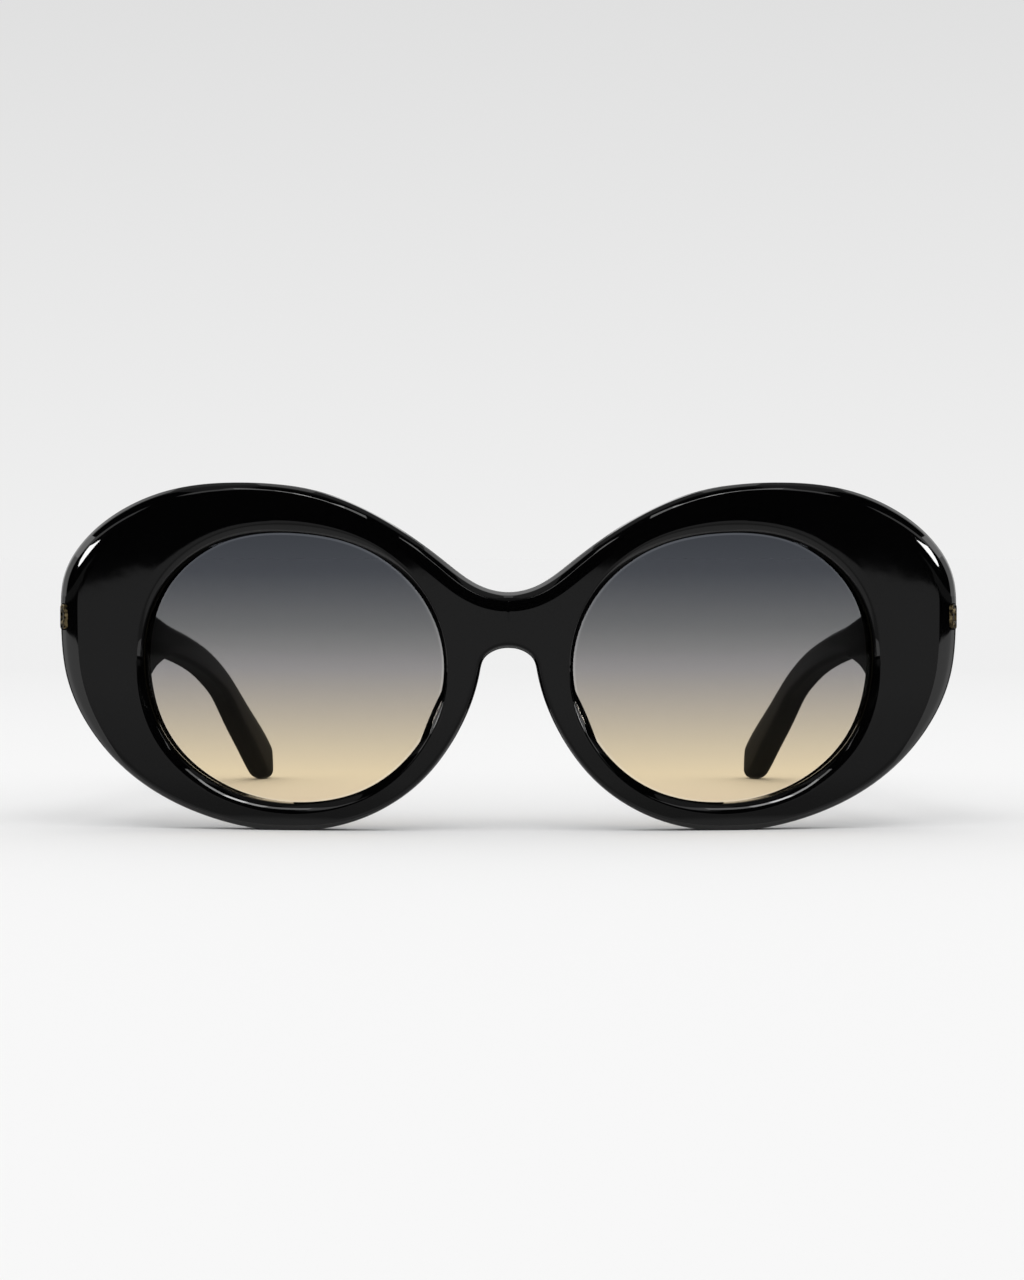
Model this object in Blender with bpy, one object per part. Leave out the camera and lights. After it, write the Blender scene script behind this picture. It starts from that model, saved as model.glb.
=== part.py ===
"""Round acetate sunglasses with thick bevelled rims, gradient lenses and folding temples.

X runs across the front, Y from the front back to the temple tips, and Z up from the table.
The origin lies on the table, in the middle of the unfolded frame. Left and right are the wearer's.
Each piece is worked out for the wearer's left, at +X, and mirrored for the right.
"""

import math

import bmesh
import bpy
import numpy as np
from mathutils import Matrix, Vector

# Fits that all pieces share
SEAT_GAP = 0.0003  # between two pieces that seat on each other
RUNNING_GAP = 0.00006  # radial play of the screw in the barrels
KNUCKLE_GAP = 0.00015  # play between neighbouring barrels
OVERRUN = 0.002  # how far a cutter passes the surface that it opens
WELD = 0.000001  # points closer than this are one point

# Lens openings and the rims round them
OPENING_WIDTH = 0.0506
OPENING_HEIGHT = 0.0454
BRIDGE_WIDTH = 0.0215  # between the two openings
RIM_ABOVE = 0.0081
RIM_BELOW = 0.0044
RIM_OUTSIDE = 0.0161
REST_FLAT_DEPTH = 0.00015  # taken off the lowest point of each rim, where it rests

# Thickness of the front
FRONT_CURVE_RADIUS = 0.255  # of the front face, seen from above
RIM_THICKNESS = 0.0055
END_THICKNESS = 0.0085  # where the temples join
END_RAMP_START = 0.0008  # from the opening's edge to the foot of the thicker end
END_RAMP_LENGTH = 0.0036
END_BLOCK_HEIGHT = 0.0230
END_BLOCK_FADE = 0.0090

# Edges of the front
OUTER_BEVEL = 0.0023
BEVEL_CROWN_SHARE = 0.10  # how far the outer bevel bulges, of its width
INNER_BEVEL = 0.0015
INNER_BEVEL_DEPTH = 0.0012
BACK_BEVEL = 0.0006

# Lens and groove
LENS_THICKNESS = 0.0020
LENS_CROWN = 0.0014  # how far its middle stands in front of its edge
LENS_RIDGE_SHARE = 0.7  # of the lens's thickness, at the foot of its ridge
GROOVE_SET_BACK = 0.0029  # from the front face to the groove's middle
GROOVE_DEPTH = 0.00085

# Nose pads
PAD_DEPTH = 0.0062
PAD_WIDTH = 0.0034
PAD_FLARE = 0.0028  # how far the free edge leans towards the lens
PAD_ROOT = 0.0022  # from the opening's edge to the middle of the pad's foot
PAD_TOP_ANGLE = math.radians(180)
PAD_BOTTOM_ANGLE = math.radians(224)
PAD_END_SHARE = 0.5  # of its width, at its two ends
PAD_ROUNDNESS = 0.7  # below 1, the pad swells faster from its ends

# Hinges, with three barrels on the front and two on the temple
HINGE_HEIGHT = 0.0330  # of their middle above the table
BARREL_RADIUS = 0.0015
KNUCKLE_HEIGHT = 0.0013
KNUCKLES = 5
LEAF_BORDER = 0.0005  # of a leaf's plate above and below the barrels
PLATE_EDGE = 0.0003  # chamfer of the plates
FRONT_LEAF_INNER_WIDTH = 0.0024  # of its plate, from the pivot towards the lens
FRONT_LEAF_OUTER_WIDTH = 0.0022
FRONT_LEAF_THICKNESS = 0.0010
FRONT_LEAF_INSET = 0.0003  # below the joint face
ANCHOR_RADIUS = 0.0010
ANCHOR_LENGTH = 0.0018
TEMPLE_LEAF_LENGTH = 0.0090
TEMPLE_LEAF_SUNK = 0.0013
TEMPLE_LEAF_PROUD = 0.0006
TEMPLE_LUG_LAP = 0.0022  # how far a barrel's lug runs along the plate

# Hinge screws
SCREW_RADIUS = 0.0007
SCREW_HEAD_RADIUS = 0.0011
SCREW_HEAD_HEIGHT = 0.0005
SCREW_SLOT_WIDTH = 0.0003
SCREW_SLOT_DEPTH = 0.00025

# Joint between the front and a temple
JOINT_TRIM = 0.0026  # taken off the back of each end, to make the joint face square to the frame
JOINT_INSET = 0.0066  # from the widest point of the front in to a temple's inner face

# Temples
TEMPLE_LENGTH = 0.1281
TEMPLE_END_HEIGHT = 0.0150
TEMPLE_THICKNESS = 0.0050
TEMPLE_INWARD = 0.0206  # how much closer the tip is to the middle than the joint
TEMPLE_EDGE = 0.0011  # rounding of its long edges
TIP_ROUND = 0.0013  # rounding of the tip in its thickness
TIP_NOSE = 0.0042  # rounding of the tip in its height
TIP_REACH = 0.0024

# Core wires
CORE_RADIUS = 0.0007
CORE_START_DEPTH = 0.00130  # of the wire's middle below the inner face, at the hinge
CORE_SETTLE = 0.0120  # length over which the wire reaches the middle of the temple
CORE_END_SHARE = 0.93  # of the temple's length

# Trim shields in the outer bevel, where the front is widest
SHIELD_HEIGHT = 0.0042
SHIELD_WIDTH = 0.0019
SHIELD_THICKNESS = 0.0008
SHIELD_CORNER = 0.0006
SHIELD_BORDER = 0.0003
SHIELD_FIELD_DEPTH = 0.0002  # from the border down to the field
SHIELD_DROP = 0.0002  # from the widest place down to its middle
SHIELD_SUNK = 0.0009  # depth of its pocket below the straight line across the bevel
RIVET_SPACING = 0.0022
RIVET_RADIUS = 0.00035
RIVET_LENGTH = 0.0024
RIVET_HEAD_RADIUS = 0.00055
RIVET_HEAD_HEIGHT = 0.00025
RIVET_CROWN_SHARE = 0.75  # of the head's radius and height, at the round of its dome
RIVET_PLAY = 0.00015  # round a rivet in its holes

# How finely round shapes are divided
OUTLINE_STEPS = 3
MIDLINE_STEPS = 4
EVENING_PASSES = 14
LENS_STATIONS = 48
PAD_STATIONS = 11
PAD_POINTS = 7
TEMPLE_STEPS = 2
TEMPLE_CORNER_STEPS = 2
SHIELD_CORNER_STEPS = 4
TABLE_STEPS = 24
BARREL_SIDES = 24
WIRE_SIDES = 10
WIRE_POINTS = 16
RIVET_SIDES = 16

# Outline of half the front, from the top of the bridge, over the top and round, to its underside. Across is
# a share of the way from the lens's middle to the outer end, or to the middle of the bridge where it is
# negative. Up is a share of the way from the lens's middle to the top, or to the bottom where it is negative.
# The last column is the bevel's width as a share of the outer bevel.
OUTLINE_SHARES = (
    (-1.000, 0.407, 0.62),
    (-0.870, 0.440, 0.62),
    (-0.704, 0.570, 0.64),
    (-0.429, 0.791, 0.66),
    (-0.094, 0.955, 0.68),
    (0.216, 1.000, 0.72),
    (0.524, 0.960, 0.80),
    (0.754, 0.836, 0.92),
    (0.905, 0.675, 1.00),
    (0.984, 0.502, 1.00),
    (1.000, 0.277, 1.00),
    (0.972, -0.063, 0.90),
    (0.864, -0.383, 0.66),
    (0.657, -0.690, 0.40),
    (0.362, -0.911, 0.26),
    (0.000, -1.000, 0.22),
    (-0.317, -0.924, 0.22),
    (-0.570, -0.724, 0.22),
    (-0.737, -0.456, 0.22),
    (-0.8335, -0.189, 0.22),
    (-0.866, -0.0256, 0.22),
    (-0.881, 0.039, 0.22),
    (-0.939, 0.0945, 0.24),
    (-1.000, 0.1075, 0.26),
)

# Distance of the opening's edge from the lens's middle, every twelfth of a turn from the nose side over
# the top, as a share of the ellipse that has the opening's width and height
OPENING_SHARES = (1.000, 0.996, 0.988, 0.986, 1.050, 1.068, 1.024, 1.020, 1.002, 0.995, 1.011, 0.998)

# A temple from the joint to the tip: place along it, height of its middle line as a share of the hinge's,
# height of its section as a share of the joint end's, and thickness as a share of the joint end's
TEMPLE_SHARES = (
    (0.000, 1.000, 1.000, 1.00),
    (0.051, 0.973, 1.047, 0.98),
    (0.113, 0.918, 1.127, 0.95),
    (0.176, 0.876, 1.120, 0.92),
    (0.222, 0.867, 1.000, 0.90),
    (0.261, 0.891, 0.866, 0.88),
    (0.300, 0.908, 0.700, 0.86),
    (0.347, 0.910, 0.540, 0.84),
    (0.410, 0.902, 0.388, 0.82),
    (0.488, 0.871, 0.343, 0.80),
    (0.581, 0.817, 0.328, 0.78),
    (0.667, 0.748, 0.318, 0.78),
    (0.730, 0.673, 0.308, 0.80),
    (0.784, 0.587, 0.316, 0.82),
    (0.831, 0.484, 0.373, 0.84),
    (0.878, 0.378, 0.433, 0.86),
    (0.925, 0.274, 0.487, 0.86),
    (0.972, 0.160, 0.527, 0.84),
    (1.000, 0.088, 0.520, 0.82),
)

# A temple's inner face seen from above: place along it, and share of the whole way inward
TEMPLE_PLAN_SHARES = ((0.0, 0.0), (0.35, 0.292), (0.70, 0.598), (0.85, 0.790), (1.0, 1.0))

# Rings of the lens, as shares of the way from its middle to its edge
LENS_RING_SHARES = (0.5, 1.0)

# Sizes worked out from those above
LENS_MIDDLE = (BRIDGE_WIDTH + OPENING_WIDTH) / 2
LENS_MIDDLE_HEIGHT = OPENING_HEIGHT / 2 + RIM_BELOW - REST_FLAT_DEPTH
REACH_ABOVE = OPENING_HEIGHT / 2 + RIM_ABOVE
REACH_BELOW = OPENING_HEIGHT / 2 + RIM_BELOW
REACH_OUTSIDE = OPENING_WIDTH / 2 + RIM_OUTSIDE
FRONT_HALF_LENGTH = LENS_MIDDLE + REACH_OUTSIDE
WIDEST_HEIGHT = LENS_MIDDLE_HEIGHT + max(OUTLINE_SHARES)[1] * REACH_ABOVE
END_TURN = FRONT_HALF_LENGTH / FRONT_CURVE_RADIUS
END_BACK = FRONT_CURVE_RADIUS - (FRONT_CURVE_RADIUS - END_THICKNESS) * math.cos(END_TURN)
JOINT_SET_BACK = END_BACK - JOINT_TRIM
JOINT_HALF_WIDTH = (FRONT_CURVE_RADIUS - OUTER_BEVEL) * math.sin(END_TURN) - JOINT_INSET
PIVOT_BACK = JOINT_SET_BACK + SEAT_GAP + BARREL_RADIUS
PIVOT_OUT = JOINT_HALF_WIDTH - BARREL_RADIUS - SEAT_GAP / 2
TEMPLE_START = JOINT_SET_BACK + SEAT_GAP
STACK_HEIGHT = KNUCKLES * KNUCKLE_HEIGHT + (KNUCKLES - 1) * KNUCKLE_GAP
STACK_BOTTOM = HINGE_HEIGHT - STACK_HEIGHT / 2
LEAF_HEIGHT = STACK_HEIGHT + 2 * LEAF_BORDER
TEMPLE_SPLAY = math.atan2(
    TEMPLE_INWARD * TEMPLE_PLAN_SHARES[1][1], TEMPLE_LENGTH * TEMPLE_PLAN_SHARES[1][0]
)

# Finishes: name, colour, roughness and metallic value
ACETATE = ("black_acetate", (0.012, 0.012, 0.013), 0.12, 0.0)
TEMPLE_ACETATE = ("temple_acetate", (0.014, 0.014, 0.014), 0.28, 0.0)
LENS_TINT = ("tinted_lens", (0.24, 0.24, 0.25), 0.05, 0.0)
STEEL = ("hinge_steel", (0.55, 0.54, 0.52), 0.30, 1.0)
GOLD = ("antique_gold", (0.62, 0.50, 0.30), 0.32, 1.0)


def finish(look):
    """The material with this look, made the first time it is asked for."""
    name, colour, roughness, metallic = look
    if name in bpy.data.materials:
        return bpy.data.materials[name]
    material = bpy.data.materials.new(name)
    material.use_nodes = True
    shader = material.node_tree.nodes["Principled BSDF"]
    shader.inputs["Base Color"].default_value = (*colour, 1.0)
    shader.inputs["Roughness"].default_value = roughness
    shader.inputs["Metallic"].default_value = metallic
    return material


def bench_place(empty):
    """Where an empty stands in the frame whose Y starts at the middle of the bridge."""
    place = Vector()
    while empty.parent:
        place += empty.location
        empty = empty.parent
    return place


def add_empty(name, place, parent=None):
    """An empty that pieces hang on, at this place."""
    empty = bpy.data.objects.new(name, None)
    bpy.context.collection.objects.link(empty)
    empty.parent = parent
    empty.location = place
    return empty


def add_piece(name, mesh, look, parent):
    """An object from a mesh that is worked out from the middle of the bridge, hung on its parent."""
    mesh.transform(Matrix.Translation(-bench_place(parent)))
    mesh.materials.append(finish(look))
    mesh.shade_smooth()
    mesh.set_sharp_from_angle(angle=math.radians(32))
    piece = bpy.data.objects.new(name, mesh)
    bpy.context.collection.objects.link(piece)
    piece.parent = parent
    return piece


def combine(piece, tool_mesh, operation):
    """Cuts the piece with a hidden tool, or joins the tool to it."""
    tool = add_piece(f"{piece.name}_tool_{len(piece.modifiers)}", tool_mesh, STEEL, piece.parent)
    tool.hide_render = True
    tool.display_type = "WIRE"
    modifier = piece.modifiers.new(tool.name, "BOOLEAN")
    modifier.operation = operation
    modifier.solver = "EXACT"
    modifier.object = tool


def cut(piece, tool_mesh):
    combine(piece, tool_mesh, "DIFFERENCE")


def join(piece, tool_mesh):
    combine(piece, tool_mesh, "UNION")


def on_side(mesh, side):
    """The mesh as it is for the left, or mirrored for the right."""
    if side < 0:
        mesh.transform(Matrix.Scale(-1, 4, Vector((1, 0, 0))))
        mesh.flip_normals()
    return mesh


def skin(name, rings):
    """A closed mesh through rings of points, each running anticlockwise as seen from the last ring.

    A ring of one point closes the mesh there, and other ends get a flat cap.
    """
    mesh = bmesh.new()
    loops = [[mesh.verts.new(point) for point in ring] for ring in rings]
    for low, high in zip(loops, loops[1:]):
        for k in range(max(len(low), len(high))):
            near = [low[k % len(low)], low[(k + 1) % len(low)]]
            far = [high[(k + 1) % len(high)], high[k % len(high)]]
            mesh.faces.new(list(dict.fromkeys(near + far)))
    if len(loops[0]) > 1:
        mesh.faces.new(list(reversed(loops[0])))
    if len(loops[-1]) > 1:
        mesh.faces.new(loops[-1])
    return finished(name, mesh)


def finished(name, mesh):
    """A mesh for an object, from the mesh that was being edited."""
    data = bpy.data.meshes.new(name)
    mesh.to_mesh(data)
    mesh.free()
    return data


def box(name, low, high, turn=None, edge=0.0):
    """A box between two corners, its edges chamfered, then turned and placed by a matrix."""
    low, high = Vector(low), Vector(high)
    spread = Matrix.Translation((low + high) / 2) @ Matrix.Diagonal((*(high - low), 1))
    mesh = bmesh.new()
    bmesh.ops.create_cube(mesh, size=1, matrix=spread)
    if edge:
        bmesh.ops.bevel(mesh, geom=mesh.edges[:], offset=edge, segments=1, affect="EDGES")
    if turn:
        bmesh.ops.transform(mesh, matrix=turn, verts=mesh.verts)
    return finished(name, mesh)


def turned(name, profile, sides, place):
    """A turned piece from (radius, height) steps, its axis placed and aimed by a matrix."""
    rings = []
    for radius, height in profile:
        ring = [
            place @ Vector((radius * math.cos(turn), radius * math.sin(turn), height))
            for turn in (2 * math.pi * k / sides for k in range(sides))
        ]
        rings.append(ring if radius else [place @ Vector((0, 0, height))])
    return skin(name, rings)


def tube(name, path, radius, sides):
    """A round tube with flat ends along a path that runs mostly backwards."""
    path = [Vector(point) for point in path]
    rings = []
    for i, point in enumerate(path):
        along = (path[min(i + 1, len(path) - 1)] - path[max(i - 1, 0)]).normalized()
        up = Vector((0, 0, 1)) - along * along.z
        up.normalize()
        side = along.cross(up)
        turns = (2 * math.pi * k / sides for k in range(sides))
        rings.append([point + radius * (math.cos(turn) * up + math.sin(turn) * side) for turn in turns])
    return skin(name, rings)


def bends_of(points, lengths, closed):
    """Second derivatives of the cubic curve through the points, whose bend has no jump."""
    count = len(points)
    matrix = np.eye(count)
    right = np.zeros_like(points)
    for i in range(count) if closed else range(1, count - 1):
        before, after = (i - 1) % count, (i + 1) % count
        matrix[i] = 0
        matrix[i, before] = lengths[before]
        matrix[i, i] = 2 * (lengths[before] + lengths[i])
        matrix[i, after] = lengths[i]
        rise_after = (points[after] - points[i]) / lengths[i]
        rise_before = (points[i] - points[before]) / lengths[before]
        right[i] = 6 * (rise_after - rise_before)
    return np.linalg.solve(matrix, right)


def smooth_curve(points, steps, closed=False):
    """The smooth curve through the points, in so many steps a span. Its first two columns set the pace."""
    points = np.array(points, dtype=float)
    lengths = np.linalg.norm((np.roll(points, -1, axis=0) - points)[:, :2], axis=1)
    bends = bends_of(points, lengths, closed)
    found = []
    for i in range(len(points) if closed else len(points) - 1):
        after = (i + 1) % len(points)
        for step in range(steps):
            near, far = 1 - step / steps, step / steps
            lift = (near**3 - near) * bends[i] + (far**3 - far) * bends[after]
            found.append(near * points[i] + far * points[after] + lift * lengths[i] ** 2 / 6)
    if not closed:
        found.append(points[-1])
    return np.array(found)


def smoothstep(share):
    """0 below 0, 1 above 1, and an even rise between."""
    share = min(max(share, 0.0), 1.0)
    return share * share * (3 - 2 * share)


def opening_table():
    """Angles round the lens and the opening's shares there, finely spaced."""
    half_width, half_height = OPENING_WIDTH / 2, OPENING_HEIGHT / 2
    points = []
    for i, share in enumerate(OPENING_SHARES):
        angle = math.pi - 2 * math.pi * i / len(OPENING_SHARES)
        points.append((half_width * share * math.cos(angle), half_height * share * math.sin(angle)))
    across, up = smooth_curve(points, TABLE_STEPS, closed=True).T
    across, up = across / half_width, up / half_height
    return np.arctan2(up, across), np.hypot(across, up)


OPENING_ANGLES, OPENING_CURVE = opening_table()


def opening_edge(angle, outward=0.0, share=1.0):
    """(along the front, height) of the opening's edge at an angle, 0 at the outer end and a quarter turn
    at the top, moved square to the edge by outward, or drawn in towards the lens's middle by a share."""

    def edge(at):
        bulge = float(np.interp(at, OPENING_ANGLES, OPENING_CURVE, period=2 * math.pi))
        return Vector((OPENING_WIDTH / 2 * math.cos(at), OPENING_HEIGHT / 2 * math.sin(at))) * bulge

    nudge = math.radians(1)
    along = edge(angle + nudge) - edge(angle - nudge)
    square = Vector((along.y, -along.x)).normalized()
    return (edge(angle) + square * outward) * share + Vector((LENS_MIDDLE, LENS_MIDDLE_HEIGHT))


def bent(along, depth, height):
    """A point of the flat front, wrapped round the front's curve."""
    angle = along / FRONT_CURVE_RADIUS
    radius = FRONT_CURVE_RADIUS - depth
    return Vector((radius * math.sin(angle), FRONT_CURVE_RADIUS - radius * math.cos(angle), height))


def thickness_at(along, height):
    """Thickness of the front, which grows towards the ends at the height of the hinges."""
    foot = LENS_MIDDLE + OPENING_WIDTH / 2 + END_RAMP_START
    ramp = smoothstep((along - foot) / END_RAMP_LENGTH)
    beyond = abs(height - HINGE_HEIGHT) - END_BLOCK_HEIGHT / 2
    return RIM_THICKNESS + (END_THICKNESS - RIM_THICKNESS) * ramp * (1 - smoothstep(beyond / END_BLOCK_FADE))


def outline_stations():
    """Places round one lens: (outer point, direction inward, bevel width, on the midline)."""
    right = []
    for across, up, bevel in OUTLINE_SHARES:
        along = LENS_MIDDLE + across * (REACH_OUTSIDE if across > 0 else LENS_MIDDLE)
        height = LENS_MIDDLE_HEIGHT + up * (REACH_ABOVE if up > 0 else REACH_BELOW)
        right.append((along, height, bevel * OUTER_BEVEL))
    left = [(-along, height, bevel) for along, height, bevel in reversed(right[1:-1])]
    whole = smooth_curve(right + left, OUTLINE_STEPS, closed=True)
    count = (len(right) - 1) * OUTLINE_STEPS + 1
    stations = []
    for i in range(count):
        along, height, bevel = whole[i]
        travel = Vector((whole[(i + 1) % len(whole)] - whole[i - 1])[:2]).normalized()
        if i in (0, count - 1):
            along = 0.0
            travel = Vector((1.0 if i == 0 else -1.0, 0.0))
        stations.append((Vector((along, height)), Vector((travel.y, -travel.x)), bevel, False))
    top, underside = stations[0][0], stations[-1][0]
    for step in range(1, MIDLINE_STEPS):
        place = underside.lerp(top, step / MIDLINE_STEPS)
        stations.append((place, Vector((0, 0)), 0.0, True))
    return stations


def station_angles(stations):
    """An angle round the opening for each place of the outline, spread so that no two crowd together."""
    count = len(stations)
    found = []
    for outer, _, _, _ in stations:
        across = (outer.x - LENS_MIDDLE) / OPENING_WIDTH
        up = (outer.y - LENS_MIDDLE_HEIGHT) / OPENING_HEIGHT
        found.append(math.atan2(up, across))
    found = np.unwrap(found)
    even = -2 * math.pi * np.arange(count) / count
    astray = found - even
    for _ in range(EVENING_PASSES):
        astray = (np.roll(astray, 1) + 2 * astray + np.roll(astray, -1)) / 4
    return even + astray


def rim_section(angle, station):
    """Points (place, depth) round the rim's section, from the groove over the face and the back."""
    outer, inward, bevel, on_midline = station
    edge = opening_edge(angle)
    face_inner = opening_edge(angle, INNER_BEVEL)
    face_outer = outer + inward * bevel
    crowned = bevel * (0.5 - BEVEL_CROWN_SHARE)
    back_inner = opening_edge(angle, BACK_BEVEL)
    back_outer = outer if on_midline else outer + inward * BACK_BEVEL
    ramp = []
    for share in (1.0, 0.5, 0.0):
        from_edge = END_RAMP_START + END_RAMP_LENGTH * share
        narrow_rim = (share * 2 + 1) / 4
        place = back_inner.lerp(back_outer, min(from_edge / (outer - edge).length, narrow_rim))
        ramp.append((place, thickness_at(*place)))
    return (
        (opening_edge(angle, GROOVE_DEPTH), GROOVE_SET_BACK),
        (edge, GROOVE_SET_BACK - GROOVE_DEPTH),
        (edge, INNER_BEVEL_DEPTH),
        (face_inner, 0.0),
        (face_inner.lerp(face_outer, 0.5), 0.0),
        (face_outer, 0.0),
        (outer + inward * crowned, crowned),
        (outer, bevel),
        (outer, thickness_at(*outer) - BACK_BEVEL),
        (back_outer, thickness_at(*back_outer)),
        *ramp,
        (back_inner, RIM_THICKNESS),
        (edge, RIM_THICKNESS - BACK_BEVEL),
        (edge, GROOVE_SET_BACK + GROOVE_DEPTH),
    )


FACE_EDGE, BACK_EDGE = 5, 9  # of a section's points, the outer ends of the face and of the back


def front_mesh():
    """The whole front: a ring round each lens opening, both welded along the middle of the bridge."""
    stations = outline_stations()
    angles = station_angles(stations)
    sections = [rim_section(angle, station) for angle, station in zip(angles, stations)]
    mesh = bmesh.new()
    for side in (1, -1):
        grid = []
        for section in sections:
            places = [bent(place.x * side, depth, place.y) for place, depth in section]
            grid.append([mesh.verts.new(place) for place in places])
        for i, here in enumerate(grid):
            there = grid[(i + 1) % len(grid)]
            joins_midline = stations[i][3] or stations[(i + 1) % len(grid)][3]
            for j in range(len(here)):
                if joins_midline and FACE_EDGE <= j < BACK_EDGE:
                    continue
                k = (j + 1) % len(here)
                corners = [here[j], there[j], there[k], here[k]]
                mesh.faces.new(corners if side > 0 else list(reversed(corners)))
    bmesh.ops.delete(mesh, geom=[v for v in mesh.verts if not v.link_faces], context="VERTS")
    bmesh.ops.remove_doubles(mesh, verts=mesh.verts, dist=WELD)
    bmesh.ops.triangulate(mesh, faces=mesh.faces)
    return finished("front", mesh)


def bevel_frame():
    """A matrix on the outer bevel at a shield's middle: X out of the bevel, Y to the back, Z up."""
    depth = OUTER_BEVEL / 2
    along = FRONT_HALF_LENGTH - OUTER_BEVEL / 2
    turn = along / FRONT_CURVE_RADIUS - math.pi / 4
    place = bent(along, depth, WIDEST_HEIGHT - SHIELD_DROP)
    return Matrix.Translation(place) @ Matrix.Rotation(turn, 4, "Z")


def rivet_places():
    """Where the two rivets of a shield enter its pocket's floor, in the shield's own frame."""
    return [Vector((-SHIELD_SUNK, 0, lift)) for lift in (-RIVET_SPACING / 2, RIVET_SPACING / 2)]


def shield_steps(name, steps):
    """A solid through steps of a shield's shape, each its inset from the edge and its place out."""
    rings = []
    for inset, out in steps:
        size = (SHIELD_WIDTH - 2 * inset, SHIELD_HEIGHT - 2 * inset, SHIELD_CORNER - inset)
        points = rounded_rectangle(*size, SHIELD_CORNER_STEPS)
        rings.append([Vector((out, -across, rise)) for across, rise in points])
    mesh = skin(name, rings)
    mesh.transform(bevel_frame())
    return mesh


def add_front(parent):
    front = add_piece("front", front_mesh(), ACETATE, parent)
    width = FRONT_HALF_LENGTH
    height = REACH_ABOVE + REACH_BELOW
    joint_low = (-width, JOINT_SET_BACK, -OVERRUN)
    cut(front, box("joint_face", joint_low, (width, JOINT_SET_BACK + END_THICKNESS, height + OVERRUN)))
    cut(front, box("rest_flats", (-width, -OVERRUN, -OVERRUN), (width, JOINT_SET_BACK, 0)))
    for side in (1, -1):
        pocket = shield_steps("shield_pocket", ((-SEAT_GAP, -SHIELD_SUNK), (-SEAT_GAP, OVERRUN)))
        cut(front, on_side(pocket, side))
        for place in rivet_places():
            radius = RIVET_RADIUS + RIVET_PLAY
            steps = ((radius, -RIVET_LENGTH - RIVET_PLAY), (radius, OVERRUN))
            cut(front, on_side(turned("rivet_hole", steps, RIVET_SIDES, rivet_frame(place)), side))
        cut(front, on_side(leaf_pocket(), side))
        cut(front, on_side(anchor("anchor_hole", SEAT_GAP), side))


def rivet_frame(place):
    """A matrix at a rivet hole's mouth whose Z points out of the bevel."""
    return bevel_frame() @ Matrix.Translation(place) @ Matrix.Rotation(math.pi / 2, 4, "Y")


def lens_mesh():
    """A domed lens whose edge carries a ridge for the groove."""
    turns = [-2 * math.pi * i / LENS_STATIONS for i in range(LENS_STATIONS)]
    front_depth = GROOVE_SET_BACK - LENS_THICKNESS / 2
    back_depth = GROOVE_SET_BACK + LENS_THICKNESS / 2
    ridge = LENS_THICKNESS / 2 * LENS_RIDGE_SHARE

    def ring(depth, share=1.0, outward=-SEAT_GAP):
        dome = LENS_CROWN * (1 - share * share)
        places = [opening_edge(turn, outward, share) for turn in turns]
        return [bent(place.x, depth - dome, place.y) for place in places]

    def pole(depth):
        return [bent(LENS_MIDDLE, depth - LENS_CROWN, LENS_MIDDLE_HEIGHT)]

    rings = [pole(front_depth)]
    rings += [ring(front_depth, share) for share in LENS_RING_SHARES]
    rings.append(ring(GROOVE_SET_BACK - ridge))
    rings.append(ring(GROOVE_SET_BACK, outward=GROOVE_DEPTH - SEAT_GAP * math.sqrt(2)))
    rings.append(ring(GROOVE_SET_BACK + ridge))
    rings += [ring(back_depth, share) for share in reversed(LENS_RING_SHARES)]
    rings.append(pole(back_depth))
    return skin("lens", rings)


def pad_mesh():
    """A leaf-shaped pad on the back of the nose side, leaning towards the lens."""
    rings = []
    for i in range(PAD_STATIONS):
        share = (i + 1 / 4) / (PAD_STATIONS - 1 / 2)
        fullness = math.sin(math.pi * share) ** PAD_ROUNDNESS
        angle = PAD_TOP_ANGLE + (PAD_BOTTOM_ANGLE - PAD_TOP_ANGLE) * share
        ring = []
        for k in range(PAD_POINTS):
            turn = math.pi * k / (PAD_POINTS - 1)
            half_width = PAD_WIDTH / 2 * (PAD_END_SHARE + (1 - PAD_END_SHARE) * fullness)
            lean = PAD_FLARE * fullness * math.sin(turn)
            place = opening_edge(angle, PAD_ROOT + half_width * math.cos(turn) - lean)
            rise = PAD_DEPTH * fullness * math.sin(turn)
            ring.append(bent(place.x, RIM_THICKNESS + SEAT_GAP + rise, place.y))
        rings.append(ring)
    return skin("nose_pad", rings)


def knuckles(first, direction, reach):
    """Every other barrel of the stack from the first on, each with a lug in this direction."""
    pivot = Vector((PIVOT_OUT, PIVOT_BACK, 0))
    across = Vector((direction.y, -direction.x, 0)) * BARREL_RADIUS
    rounding = [math.pi * k / (BARREL_SIDES // 2) for k in range(BARREL_SIDES // 2 + 1)]
    outline = [pivot + across * math.cos(a) - direction * BARREL_RADIUS * math.sin(a) for a in rounding]
    outline += [pivot - across + direction * reach, pivot + across + direction * reach]
    outline.reverse()
    mesh = bmesh.new()
    for index in range(first, KNUCKLES, 2):
        bottom = Vector((0, 0, STACK_BOTTOM + index * (KNUCKLE_HEIGHT + KNUCKLE_GAP)))
        top = bottom + Vector((0, 0, KNUCKLE_HEIGHT))
        one = skin("knuckle", [[p + bottom for p in outline], [p + top for p in outline]])
        mesh.from_mesh(one)
    return finished("knuckles", mesh)


def screw_profile(play, overrun=0.0):
    """Steps of the screw from its end to its head, or of its bore when it is given play."""
    top = STACK_BOTTOM + STACK_HEIGHT
    shank, head = SCREW_RADIUS + play, SCREW_HEAD_RADIUS + play
    steps = [(shank, STACK_BOTTOM - overrun), (shank, top - SCREW_HEAD_HEIGHT), (head, top)]
    if overrun:
        steps.append((head, top + overrun))
    return steps


def hinge_axis():
    return Matrix.Translation((PIVOT_OUT, PIVOT_BACK, 0))


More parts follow.
